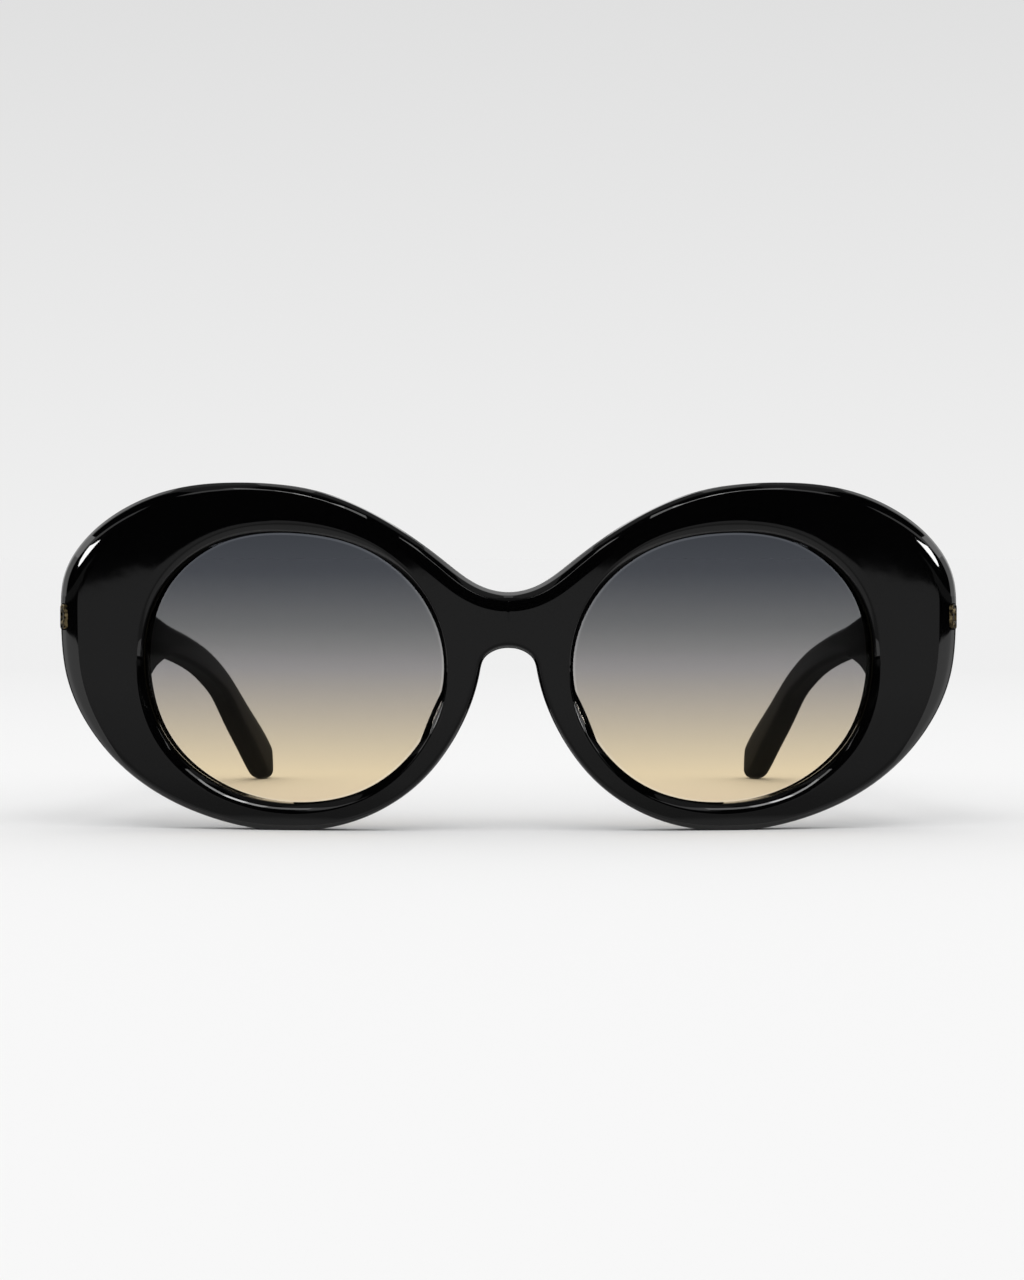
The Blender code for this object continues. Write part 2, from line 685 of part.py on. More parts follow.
def front_leaf_corners():
    """Lowest and highest corner of the front leaf's plate."""
    back = JOINT_SET_BACK - FRONT_LEAF_INSET
    low = (PIVOT_OUT - FRONT_LEAF_INNER_WIDTH, back - FRONT_LEAF_THICKNESS, HINGE_HEIGHT - LEAF_HEIGHT / 2)
    high = (PIVOT_OUT + FRONT_LEAF_OUTER_WIDTH, back, HINGE_HEIGHT + LEAF_HEIGHT / 2)
    return Vector(low), Vector(high)


def leaf_pocket():
    """The pocket in the back of the front that the front leaf's plate is sunk into."""
    low, high = front_leaf_corners()
    room = Vector((SEAT_GAP, SEAT_GAP, SEAT_GAP))
    return box("leaf_pocket", low - room, high + room + Vector((0, OVERRUN, 0)))


def anchor(name, play):
    """The stud under a front leaf's plate that holds it in the acetate, or the hole for it."""
    front = front_leaf_corners()[0].y
    turn = Matrix.Translation((PIVOT_OUT, front, HINGE_HEIGHT)) @ Matrix.Rotation(math.pi / 2, 4, "X")
    radius = ANCHOR_RADIUS + play
    lap = FRONT_LEAF_THICKNESS / 2
    return turned(name, ((radius, -lap), (radius, ANCHOR_LENGTH + play)), RIVET_SIDES, turn)


def add_front_hinge(side, label, parent):
    low, high = front_leaf_corners()
    plate = box("plate", low, high, edge=PLATE_EDGE)
    leaf = add_piece(f"front_hinge_{label}", on_side(plate, side), STEEL, parent)
    join(leaf, on_side(anchor("anchor", 0.0), side))
    reach = PIVOT_BACK - high.y + FRONT_LEAF_THICKNESS / 2
    join(leaf, on_side(knuckles(0, Vector((0, -1, 0)), reach), side))
    bore = turned("bore", screw_profile(RUNNING_GAP, OVERRUN), BARREL_SIDES, hinge_axis())
    cut(leaf, on_side(bore, side))


def temple_frame():
    """A matrix at the temple's inner front corner: X out, Y along the temple's inner face."""
    corner = Matrix.Translation((JOINT_HALF_WIDTH, TEMPLE_START, HINGE_HEIGHT))
    return corner @ Matrix.Rotation(TEMPLE_SPLAY, 4, "Z")


def temple_leaf_start():
    """Where the temple leaf's plate starts, along the temple, just clear of the barrels."""
    pivot = temple_frame().inverted() @ Vector((PIVOT_OUT, PIVOT_BACK, HINGE_HEIGHT))
    return pivot.y + BARREL_RADIUS + SEAT_GAP


def add_temple_hinge(side, label, parent):
    start = temple_leaf_start()
    low = (-TEMPLE_LEAF_PROUD, start, -LEAF_HEIGHT / 2)
    high = (TEMPLE_LEAF_SUNK, start + TEMPLE_LEAF_LENGTH, LEAF_HEIGHT / 2)
    plate = box("plate", low, high, temple_frame(), PLATE_EDGE)
    leaf = add_piece(f"temple_hinge_{label}", on_side(plate, side), STEEL, parent)
    backward = temple_frame().to_3x3() @ Vector((0, 1, 0))
    reach = BARREL_RADIUS + SEAT_GAP + TEMPLE_LUG_LAP
    join(leaf, on_side(knuckles(1, backward, reach), side))
    bore = turned("bore", screw_profile(RUNNING_GAP, OVERRUN), BARREL_SIDES, hinge_axis())
    cut(leaf, on_side(bore, side))


def add_screw(side, label, parent):
    shape = turned("screw", screw_profile(0.0), BARREL_SIDES, hinge_axis())
    screw = add_piece(f"hinge_screw_{label}", on_side(shape, side), STEEL, parent)
    top = STACK_BOTTOM + STACK_HEIGHT
    half = Vector((SCREW_HEAD_RADIUS + OVERRUN, SCREW_SLOT_WIDTH / 2, 0))
    middle = Vector((PIVOT_OUT, PIVOT_BACK, top))
    low = middle - half - Vector((0, 0, SCREW_SLOT_DEPTH))
    high = middle + half + Vector((0, 0, OVERRUN))
    cut(screw, on_side(box("slot", low, high), side))


def temple_line():
    """(back, middle height, section height, thickness) along a temple, finely spaced."""
    rows = np.array(TEMPLE_SHARES) * (TEMPLE_LENGTH, HINGE_HEIGHT, TEMPLE_END_HEIGHT, TEMPLE_THICKNESS)
    rows[:, 0] += TEMPLE_START
    return smooth_curve(rows, TEMPLE_STEPS)


def temple_inner_face(back):
    """How far from the middle the temple's inner face is, at a distance back."""
    rows = [(place * TEMPLE_LENGTH, inward * TEMPLE_INWARD) for place, inward in TEMPLE_PLAN_SHARES]
    backs, inwards = smooth_curve(rows, TABLE_STEPS).T
    return JOINT_HALF_WIDTH - float(np.interp(back - TEMPLE_START, backs, inwards))


def rounded_rectangle(width, height, corner, steps):
    """Points of a rounded rectangle round its middle, clockwise from its upper left."""
    corner = min(corner, width / 2, height / 2)
    points = []
    for quarter, (right, up) in enumerate(((-1, 1), (1, 1), (1, -1), (-1, -1))):
        for step in range(steps + 1):
            turn = math.pi - (quarter + step / steps) * math.pi / 2
            across = right * (width / 2 - corner) + corner * math.cos(turn)
            rise = up * (height / 2 - corner) + corner * math.sin(turn)
            points.append((across, rise))
    return points


def temple_rings():
    """Sections square to the temple's middle line, from the joint to the rounded tip."""
    line = temple_line()
    rings = []
    for i, (back, height, tall, thick) in enumerate(line):
        slope = line[min(i + 1, len(line) - 1)][:2] - line[max(i - 1, 0)][:2]
        tilt = math.atan2(slope[1], slope[0]) if i else 0.0
        rings.append((back, height, tall, thick, tilt, 0.0))
    back, height, tall, thick, tilt, _ = rings[-1]
    for step in (1, 2):
        turn = step * math.pi / 6
        thinned = TIP_ROUND * (1 - math.cos(turn))
        lowered = TIP_NOSE * (1 - math.cos(turn))
        beyond = TIP_REACH * math.sin(turn)
        rings.append((back, height, tall - 2 * lowered, thick - 2 * thinned, tilt, beyond))
    return [temple_ring(*ring) for ring in rings]


def temple_ring(back, height, tall, thick, tilt, beyond):
    """One section of the temple, moved beyond its place along the middle line."""
    middle_out = temple_inner_face(back) + thick / 2
    ring = []
    for out, rise in rounded_rectangle(thick, tall, TEMPLE_EDGE, TEMPLE_CORNER_STEPS):
        y = back + beyond * math.cos(tilt) - rise * math.sin(tilt)
        z = height + beyond * math.sin(tilt) + rise * math.cos(tilt)
        drift = temple_inner_face(y) - temple_inner_face(back)
        ring.append(Vector((middle_out + drift + out, y, z)))
    return ring


def core_path(first, last):
    """Points of the core wire between two distances along the temple."""
    line = temple_line()
    wire_start = temple_leaf_start() + TEMPLE_LEAF_LENGTH
    path = []
    for i in range(WIRE_POINTS):
        place = first + (last - first) * i / (WIRE_POINTS - 1)
        back = TEMPLE_START + place
        height = float(np.interp(back, line[:, 0], line[:, 1]))
        thick = float(np.interp(back, line[:, 0], line[:, 3]))
        settled = smoothstep((place - wire_start) / CORE_SETTLE)
        deep = CORE_START_DEPTH + (thick / 2 - CORE_START_DEPTH) * settled
        path.append((temple_inner_face(back) + deep, back, height))
    return path


def add_temple(side, label, parent):
    body = on_side(skin("temple", temple_rings()), side)
    temple = add_piece(f"temple_{label}", body, TEMPLE_ACETATE, parent)
    start = temple_leaf_start()
    tall = LEAF_HEIGHT / 2 + SEAT_GAP
    low = (-TEMPLE_THICKNESS, -OVERRUN, -tall)
    high = (TEMPLE_LEAF_SUNK + SEAT_GAP, start + TEMPLE_LEAF_LENGTH + SEAT_GAP, tall)
    cut(temple, on_side(box("leaf_recess", low, high, temple_frame()), side))
    first = start + TEMPLE_LEAF_LENGTH + SEAT_GAP
    last = CORE_END_SHARE * TEMPLE_LENGTH
    channel = tube("channel", core_path(first - OVERRUN, last + SEAT_GAP), CORE_RADIUS + SEAT_GAP, WIRE_SIDES)
    cut(temple, on_side(channel, side))
    below = (0, TEMPLE_START, -TEMPLE_END_HEIGHT)
    beyond = (JOINT_HALF_WIDTH + TEMPLE_THICKNESS, TEMPLE_START + TEMPLE_LENGTH + TEMPLE_END_HEIGHT, 0)
    rest_flat = box("rest_flat", below, beyond)
    cut(temple, on_side(rest_flat, side))
    wire = tube("core_wire", core_path(first, last), CORE_RADIUS, WIRE_SIDES)
    add_piece(f"core_wire_{label}", on_side(wire, side), STEEL, parent)


def shield_mesh():
    """A shield with a raised border round its field."""
    seat = SEAT_GAP - SHIELD_SUNK
    top = seat + SHIELD_THICKNESS
    steps = ((0, seat), (0, top), (SHIELD_BORDER, top), (SHIELD_BORDER, top - SHIELD_FIELD_DEPTH))
    return shield_steps("shield", steps)


def add_shield(side, label, parent):
    shield = add_piece(f"shield_{label}", on_side(shield_mesh(), side), GOLD, parent)
    field = SEAT_GAP + SHIELD_THICKNESS - SHIELD_FIELD_DEPTH
    play = RIVET_RADIUS + RIVET_PLAY
    for place, level in zip(rivet_places(), ("lower", "upper")):
        hole = turned("rivet_hole", ((play, -OVERRUN), (play, OVERRUN)), RIVET_SIDES, rivet_frame(place))
        cut(shield, on_side(hole, side))
        under_head = field + RIVET_PLAY
        profile = (
            (RIVET_RADIUS, -RIVET_LENGTH),
            (RIVET_RADIUS, under_head),
            (RIVET_HEAD_RADIUS, under_head),
            (RIVET_HEAD_RADIUS * RIVET_CROWN_SHARE, under_head + RIVET_HEAD_HEIGHT * RIVET_CROWN_SHARE),
            (0.0, under_head + RIVET_HEAD_HEIGHT),
        )
        rivet = turned("rivet", profile, RIVET_SIDES, rivet_frame(place))
        add_piece(f"shield_rivet_{label}_{level}", on_side(rivet, side), GOLD, parent)


def main():
    for old in list(bpy.data.objects):
        bpy.data.objects.remove(old)
    overall_depth = max(point.y for ring in temple_rings() for point in ring)
    root = add_empty("sunglasses", (0, -overall_depth / 2, 0))
    add_front(root)
    for side, label in ((1, "left"), (-1, "right")):
        add_piece(f"lens_{label}", on_side(lens_mesh(), side), LENS_TINT, root)
        add_piece(f"nose_pad_{label}", on_side(pad_mesh(), side), ACETATE, root)
        add_front_hinge(side, label, root)
        add_shield(side, label, root)
        pivot = add_empty(f"temple_pivot_{label}", (side * PIVOT_OUT, PIVOT_BACK, HINGE_HEIGHT), root)
        add_temple(side, label, pivot)
        add_temple_hinge(side, label, pivot)
        add_screw(side, label, root)


main()
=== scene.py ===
"""Round acetate sunglasses: polished black front, gradient lenses, folding temples."""

from math import atan2, cos, hypot, pi, radians, sin, sqrt

import bmesh
import bpy
import numpy as np
from mathutils import Matrix, Vector


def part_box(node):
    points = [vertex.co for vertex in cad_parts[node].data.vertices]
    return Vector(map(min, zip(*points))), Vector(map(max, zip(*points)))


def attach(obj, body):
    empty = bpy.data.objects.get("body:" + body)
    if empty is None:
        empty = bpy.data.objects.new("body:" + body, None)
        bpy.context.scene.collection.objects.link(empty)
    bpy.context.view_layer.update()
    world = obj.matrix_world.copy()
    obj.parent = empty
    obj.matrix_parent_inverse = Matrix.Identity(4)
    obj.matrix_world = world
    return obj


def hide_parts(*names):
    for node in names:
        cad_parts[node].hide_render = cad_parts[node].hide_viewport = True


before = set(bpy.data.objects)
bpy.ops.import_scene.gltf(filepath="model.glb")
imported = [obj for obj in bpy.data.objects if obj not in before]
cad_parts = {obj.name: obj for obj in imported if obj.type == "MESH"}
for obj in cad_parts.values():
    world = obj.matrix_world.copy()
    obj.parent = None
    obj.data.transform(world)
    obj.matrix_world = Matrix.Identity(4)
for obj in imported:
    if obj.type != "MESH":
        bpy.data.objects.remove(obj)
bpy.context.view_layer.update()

# ---- sizes of the frame, in metres

OPENING_WIDTH = 0.0506
OPENING_HEIGHT = 0.0454
BRIDGE_WIDTH = 0.0215
RIM_ABOVE = 0.0081
RIM_BELOW = 0.0044
RIM_OUTSIDE = 0.0161
REST_FLAT_DEPTH = 0.00015  # filed off where the rims stand on the table

FRONT_CURVE = 0.255  # radius
RIM_THICKNESS = 0.0055
END_THICKNESS = 0.0085
END_RAMP_START = 0.0008
END_RAMP_LENGTH = 0.0036
END_BLOCK_HEIGHT = 0.023
END_BLOCK_FADE = 0.009

OUTER_BEVEL = 0.0023
INNER_BEVEL = 0.0015
INNER_BEVEL_DEPTH = 0.0012
BACK_BEVEL = 0.0006
BUFFED = 0.0002  # radius that polishing leaves on the corners of the acetate
FACE_ROLL = 0.0019  # how far the face rolls off into the outer bevel where that is widest
BEVEL_RIDGE = (0.32, 0.46)  # between its two facets: inward and back, as shares of the bevel
INNER_CROWN = (0.47, 0.44)  # the top of the inner bevel's crown, in the same way
BRIDGE_SCOOP = 1.0  # how much deeper the outer bevel is on the bridge
BRIDGE_SCOOP_REACH = (0.005, 0.016)  # from the middle, where it begins and ends to fade
CROWN_STEPS = (0.2, 0.35, 0.5, 0.65, 0.8)  # shares of the way over the inner bevel's crown
FACE_STEPS = (0.15, 0.32, 0.49, 0.66, 0.83, 0.94)  # and across the face
ROLL_STEPS = (0.0, 0.12, 0.26, 0.42, 0.6, 0.8, 1.0)  # and down the roll of the face
ROLL_END = 0.45  # share of the way to the ridge where the roll ends
BACK_STEPS = 10  # across the back
MIDLINE_STEPS = 12  # from the bridge's underside to its top
EVENING_ROUNDS = 160  # in which each section is drawn towards its neighbours

LENS_THICKNESS = 0.002
LENS_CROWN = 0.0014
GROOVE_SET_BACK = 0.0029
GROOVE_DEPTH = 0.00085
SEAT_GAP = 0.0003
LENS_FIT = 0.00008  # from the opening's edge to the lens, which is sprung into its groove
GLINT_RIM = 0.00034  # width of the lens's rim whose tint is lightened, a painted glint of the light that runs inside the lens
LENS_CHAMFER = 0.00012
LENS_RIDGE_SHARE = 0.7  # of the lens's thickness, at the foot of its ridge
LENS_SIDES = 128
LENS_SHARES = (0.03, 0.15, 0.3, 0.45, 0.6, 0.75, 0.88)  # of the way from its middle to its edge

PAD_DEPTH = 0.0062
PAD_WIDTH = 0.0034
PAD_FLARE = 0.0028
PAD_ROOT = 0.0022
PAD_TOP_ANGLE = radians(180)
PAD_BOTTOM_ANGLE = radians(224)
PAD_END_SHARE = 0.5
PAD_ROUNDNESS = 0.7

HINGE_HEIGHT = 0.033
LEAF_HEIGHT = 0.0081
LEAF_INNER_WIDTH = 0.0024
LEAF_OUTER_WIDTH = 0.0022
FRONT_LEAF_THICKNESS = 0.001
FRONT_LEAF_INSET = 0.0003
TEMPLE_LEAF_LENGTH = 0.009
TEMPLE_LEAF_SUNK = 0.0013
BARREL_RADIUS = 0.0015

JOINT_TRIM = 0.0026
JOINT_INSET = 0.0066

TEMPLE_LENGTH = 0.1281
TEMPLE_END_HEIGHT = 0.015
TEMPLE_THICKNESS = 0.005
TEMPLE_INWARD = 0.0206
TEMPLE_EDGE = 0.0009
TIP_ROUND = 0.0013
TIP_BACK = 0.00179  # from the end of the middle line to where the nose of the tip begins
TIP_NOSE = 0.004
TIP_REACH = 0.0047
TIP_EDGE = 0.0019  # radius of the edges at the tip
TIP_EDGE_START = 0.7  # share of the length where the edges begin to grow rounder
TIP_EDGE_SPAN = 0.25
TIP_STEPS = 8  # of ten degrees each, round the nose

SHIELD_HEIGHT = 0.0042
SHIELD_WIDTH = 0.0019
SHIELD_THICKNESS = 0.0008
SHIELD_CORNER = 0.0006
SHIELD_BORDER = 0.0003
SHIELD_FIELD_DEPTH = 0.0002
SHIELD_DROP = 0.0002
SHIELD_SUNK = 0.0009
SHIELD_RISE = 0.00035  # how much further out the shield sits than on a flat bevel
SHIELD_SHIFT = 0.0004  # how much further towards the face
RIVET_SPACING = 0.0022
RIVET_HEAD_RADIUS = 0.00055
RIVET_HEAD_HEIGHT = 0.00025
# Rings of a rivet's head: radius and height
RIVET_DOME = ((1.0, 0.0), (0.98, 0.3), (0.88, 0.6), (0.68, 0.83), (0.4, 0.96), (0.12, 1.0))
RIVET_SIDES = 32
METAL_EASE = 0.00006  # radius of the metal's edges

# How far cutters reach past what they cut
OVERRUN = 0.002
BEYOND = 0.09
MARGIN = 0.01
SAW_HEIGHT = 0.07

SAME_PLACE = 0.0000005  # vertices closer than this are one
ON_MIDLINE = 0.000001

# Outline of half the front, from the bridge's top round to its underside: across, up and bevel width
OUTLINE_SHARES = (
    (-1.0, 0.407, 0.74), (-0.87, 0.44, 0.73), (-0.704, 0.57, 0.7), (-0.429, 0.791, 0.68),
    (-0.094, 0.955, 0.68), (0.216, 1.0, 0.72), (0.524, 0.96, 0.8), (0.754, 0.836, 0.92),
    (0.905, 0.675, 1.0), (0.984, 0.502, 1.0), (1.0, 0.277, 1.0), (0.972, -0.063, 0.9),
    (0.864, -0.383, 0.66), (0.657, -0.69, 0.4), (0.362, -0.911, 0.26), (0.0, -1.0, 0.22),
    (-0.317, -0.924, 0.22), (-0.57, -0.724, 0.22), (-0.737, -0.456, 0.22), (-0.8335, -0.189, 0.22),
    (-0.866, -0.0256, 0.22), (-0.881, 0.039, 0.22), (-0.939, 0.0945, 0.24), (-1.0, 0.1075, 0.26),
)
# Round the opening, clockwise from the nose: the inner bevel's width, and the edge against an ellipse
INNER_BEVELS = (0.4, 0.62, 0.93, 1.0, 0.85, 0.62, 0.52, 0.74, 0.9, 0.97, 0.83, 0.62)
OPENING_SHARES = (1.0, 0.996, 0.988, 0.986, 1.05, 1.068, 1.024, 1.02, 1.002, 0.995, 1.011, 0.998)

# A temple: place along it, height of its middle line, height of its section, and thickness
TEMPLE_SHARES = (
    (0.0, 1.0, 1.0, 1.0), (0.051, 0.973, 1.047, 0.98), (0.113, 0.918, 1.127, 0.95),
    (0.176, 0.876, 1.12, 0.92), (0.222, 0.867, 1.0, 0.9), (0.261, 0.891, 0.866, 0.88),
    (0.3, 0.908, 0.7, 0.86), (0.347, 0.91, 0.54, 0.84), (0.41, 0.902, 0.388, 0.82),
    (0.488, 0.871, 0.343, 0.8), (0.581, 0.817, 0.328, 0.78), (0.667, 0.748, 0.318, 0.78),
    (0.73, 0.673, 0.308, 0.8), (0.784, 0.587, 0.316, 0.82), (0.831, 0.484, 0.373, 0.84),
    (0.878, 0.378, 0.433, 0.86), (0.925, 0.274, 0.487, 0.86), (0.972, 0.16, 0.527, 0.84),
    (1.0, 0.088, 0.52, 0.82),
)
# Seen from above: place along it, and how far it has come inward
TEMPLE_PLAN = ((0.0, 0.0), (0.35, 0.292), (0.7, 0.598), (0.85, 0.79), (1.0, 1.0))

LENS_MIDDLE = (BRIDGE_WIDTH + OPENING_WIDTH) / 2
LENS_LEVEL = OPENING_HEIGHT / 2 + RIM_BELOW - REST_FLAT_DEPTH
REACH_ABOVE = OPENING_HEIGHT / 2 + RIM_ABOVE
REACH_BELOW = OPENING_HEIGHT / 2 + RIM_BELOW
REACH_OUTSIDE = OPENING_WIDTH / 2 + RIM_OUTSIDE
FRONT_HALF_LENGTH = LENS_MIDDLE + REACH_OUTSIDE
WIDEST_HEIGHT = LENS_LEVEL + max(OUTLINE_SHARES)[1] * REACH_ABOVE
END_TURN = FRONT_HALF_LENGTH / FRONT_CURVE
END_BACK = FRONT_CURVE - (FRONT_CURVE - END_THICKNESS) * cos(END_TURN)
JOINT_SET_BACK = END_BACK - JOINT_TRIM
JOINT_HALF_WIDTH = (FRONT_CURVE - OUTER_BEVEL) * sin(END_TURN) - JOINT_INSET
PIVOT_BACK = JOINT_SET_BACK + SEAT_GAP + BARREL_RADIUS
PIVOT_OUT = JOINT_HALF_WIDTH - BARREL_RADIUS - SEAT_GAP / 2
TEMPLE_START = JOINT_SET_BACK + SEAT_GAP
bend, inward = TEMPLE_PLAN[1]
TEMPLE_SPLAY = atan2(TEMPLE_INWARD * inward, TEMPLE_LENGTH * bend)
BRIDGE_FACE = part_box("front")[0].y  # the bridge's face in the row frame


# ---- curves that the pieces follow


def smooth_curve(points, steps, closed=False):
    """The smooth curve through the points, in so many steps a span."""
    points = np.array(points, dtype=float)
    count = len(points)
    lengths = np.linalg.norm((np.roll(points, -1, axis=0) - points)[:, :2], axis=1)
    matrix = np.eye(count)
    right = np.zeros_like(points)
    for i in range(count) if closed else range(1, count - 1):
        before, after = (i - 1) % count, (i + 1) % count
        both = lengths[before] + lengths[i]
        matrix[i, [before, i, after]] = lengths[before], 2 * both, lengths[i]
        rise_after = (points[after] - points[i]) / lengths[i]
        rise_before = (points[i] - points[before]) / lengths[before]
        right[i] = 6 * (rise_after - rise_before)
    bends = np.linalg.solve(matrix, right)
    found = []
    for i in range(count if closed else count - 1):
        after = (i + 1) % count
        for step in range(steps):
            near, far = 1 - step / steps, step / steps
            lift = (near**3 - near) * bends[i] + (far**3 - far) * bends[after]
            found.append(near * points[i] + far * points[after] + lift * lengths[i] ** 2 / 6)
    if not closed:
        found.append(points[-1])
    return np.array(found)


def smoothstep(share):
    """0 below 0, 1 above 1, and an even rise between."""
    share = min(max(share, 0.0), 1.0)
    return share * share * (3 - 2 * share)


def opening_table():
    """Angles round the lens and the opening's shares there, finely spaced."""
    half_width, half_height = OPENING_WIDTH / 2, OPENING_HEIGHT / 2
    points = []
    for i, share in enumerate(OPENING_SHARES):
        angle = pi - 2 * pi * i / len(OPENING_SHARES)
        points.append((half_width * share * cos(angle), half_height * share * sin(angle)))
    across, up = smooth_curve(points, 24, closed=True).T
    across, up = across / half_width, up / half_height
    return np.arctan2(up, across), np.hypot(across, up)


OPENING_ANGLES, OPENING_CURVE = opening_table()


def inner_bevel(angle):
    """The inner bevel's width as a share of its widest, at an angle round the opening."""
    count = len(INNER_BEVELS)
    place = (pi - angle) / (2 * pi) * count
    return float(np.interp(place, range(count), INNER_BEVELS, period=count))


def opening_edge(angle, outward=0.0, share=1.0):
    """(along, height) of the opening's edge at an angle, moved outward square to the edge."""

    def edge(at):
        bulge = float(np.interp(at, OPENING_ANGLES, OPENING_CURVE, period=2 * pi))
        return Vector((OPENING_WIDTH / 2 * cos(at), OPENING_HEIGHT / 2 * sin(at))) * bulge

    nudge = radians(3)
    along = edge(angle + nudge) - edge(angle - nudge)
    square = Vector((along.y, -along.x)).normalized()
    return (edge(angle) + square * outward) * share + Vector((LENS_MIDDLE, LENS_LEVEL))


def bent(along, depth, height):
    """A point of the flat front, wrapped round the front's curve, in the row frame."""
    angle = along / FRONT_CURVE
    radius = FRONT_CURVE - depth
    back = FRONT_CURVE - radius * cos(angle)
    return Vector((radius * sin(angle), BRIDGE_FACE + back, height))


def thickness_at(along, height):
    """Thickness of the front, which grows towards the ends at the height of the hinges."""
    foot = LENS_MIDDLE + OPENING_WIDTH / 2 + END_RAMP_START
    ramp = smoothstep((along - foot) / END_RAMP_LENGTH)
    beyond = abs(height - HINGE_HEIGHT) - END_BLOCK_HEIGHT / 2
    ramp *= 1 - smoothstep(beyond / END_BLOCK_FADE)
    return RIM_THICKNESS + (END_THICKNESS - RIM_THICKNESS) * ramp


# ---- bench work with Blender's operators


def clear_bench():
    """Leaves object mode on and nothing selected."""
    if bpy.context.object and bpy.context.object.mode != "OBJECT":
        bpy.ops.object.mode_set(mode="OBJECT")
    bpy.ops.object.select_all(action="DESELECT")


def named(name):
    """The piece that was just made, with this name."""
    piece = bpy.context.object
    piece.name = name
    return piece


def pick(piece):
    """Selects this piece alone and makes it the active one."""
    clear_bench()
    piece.select_set(True)
    bpy.context.view_layer.objects.active = piece


def edit(piece, action="SELECT"):
    """Opens a piece for editing, with all of its vertices selected or none."""
    pick(piece)
    bpy.ops.object.mode_set(mode="EDIT")
    bpy.ops.mesh.select_mode(type="VERT")
    bpy.ops.mesh.select_all(action=action)


def face_outward(piece):
    """Turns the piece's normals outward."""
    edit(piece)
    bpy.ops.mesh.normals_make_consistent(inside=False)
    bpy.ops.object.mode_set(mode="OBJECT")


def fit_ring(piece, row, places):
    """Moves the selected ring to its places. Row holds the ring before it, by index."""
    mesh = bmesh.from_edit_mesh(piece.data)
    mesh.verts.ensure_lookup_table()
    fitted = []
    for index, place in zip(row, places):
        vertex = mesh.verts[index]
        if not vertex.select:
            beside = (edge.other_vert(vertex) for edge in vertex.link_edges)
            vertex = next(other for other in beside if other.select)
        vertex.co = place
        fitted.append(vertex.index)
    bmesh.update_edit_mesh(piece.data)
    return fitted


def lofted(name, rings, ends="capped"):
    """A shell through rings of points. Its ends are capped, pointed, or joined to each other."""
    clear_bench()
    middle = sum(rings[0], Vector()) / len(rings[0])
    reach = max((place - middle).length for place in rings[0])
    bpy.ops.mesh.primitive_circle_add(vertices=len(rings[0]), radius=reach, location=middle)
    piece = named(name)
    bpy.ops.object.transform_apply()
    edit(piece)
    row = fit_ring(piece, range(len(rings[0])), rings[0])
    first = row
    for ring in rings[1:]:
        bpy.ops.mesh.extrude_region_move()
        row = fit_ring(piece, row, ring)
    if ends == "joined":
        bpy.ops.mesh.extrude_region_move()
        fit_ring(piece, row, rings[0])
        bpy.ops.mesh.select_all(action="SELECT")
        bpy.ops.mesh.remove_doubles(threshold=SAME_PLACE)
    for end in () if ends == "joined" else (row, first):
        bpy.ops.mesh.select_all(action="DESELECT")
        mesh = bmesh.from_edit_mesh(piece.data)
        mesh.verts.ensure_lookup_table()
        for index in end:
            mesh.verts[index].select = True
        mesh.select_flush(True)
        bmesh.update_edit_mesh(piece.data)
        if ends == "capped":
            bpy.ops.mesh.edge_face_add()
        else:
            bpy.ops.mesh.merge(type="CENTER")
    face_outward(piece)
    return piece


def block(name, low, high, turn=Matrix()):
    """A cube between two corners, then turned and placed."""
    clear_bench()
    low, high = Vector(low), Vector(high)
    bpy.ops.mesh.primitive_cube_add(size=1, location=(low + high) / 2)
    cube = named(name)
    cube.scale = high - low
    bpy.ops.object.transform_apply()
    cube.data.transform(turn)
    return cube


def mirrored(piece, name):
    """A copy of a left piece for the right side."""
    pick(piece)
    bpy.ops.object.duplicate()
    twin = named(name)
    twin.scale.x = -1
    bpy.ops.object.transform_apply()
    face_outward(twin)
    return twin


def worked(piece, kind, **settings):
    """Adds a modifier, sets it, and applies it."""
    pick(piece)
    bpy.ops.object.modifier_add(type=kind)
    modifier = piece.modifiers[-1]
    for name, value in settings.items():
        setattr(modifier, name, value)
    bpy.ops.object.modifier_apply(modifier=modifier.name)


def cut_away(piece, cutter):
    """Cuts a piece with another one, which is used up."""
    worked(piece, "BOOLEAN", operation="DIFFERENCE", solver="EXACT", object=cutter)
    bpy.data.objects.remove(cutter)


def smoothed(piece, angle=35):
    """Smooths faces that meet at the angle or less, with normals weighted by their size."""
    pick(piece)
    bpy.ops.object.shade_smooth_by_angle(angle=radians(angle))
    worked(piece, "WEIGHTED_NORMAL", keep_sharp=True, weight=80)


# ---- finishes


def new_finish(name):
    """A material with its node tree and its shader."""
    material = bpy.data.materials.new(name)
    material.use_nodes = True
    tree = material.node_tree
    return material, tree, tree.nodes["Principled BSDF"]


def fill(tree, node, inputs):
    """Sets a node's inputs to values, or links them to other nodes' outputs."""
    for name, value in inputs.items():
        if isinstance(value, bpy.types.NodeSocket):
            tree.links.new(value, node.inputs[name])
        else:
            node.inputs[name].default_value = value


def made(tree, kind, inputs, output=0):
    """The output of a new node of this kind."""
    node = tree.nodes.new(f"ShaderNode{kind}")
    fill(tree, node, inputs)
    return node.outputs[output]


def mottle(tree, scale, detail=2.0, stretch=(1, 1, 1)):
    """Noise of this scale on the piece itself."""
    place = made(tree, "TexCoord", {}, "Object")
    mapped = made(tree, "Mapping", {"Vector": place, "Scale": stretch})
    return made(tree, "TexNoise", {"Vector": mapped, "Scale": scale, "Detail": detail}, "Fac")


def along_axis(tree, axis, start, end, coordinates="Object"):
    """A value from 0 to 1 between two places along an axis."""
    place = made(tree, "TexCoord", {}, coordinates)
    distance = made(tree, "SeparateXYZ", {"Vector": place}, axis)
    return made(tree, "MapRange", {"Value": distance, "From Min": start, "From Max": end})


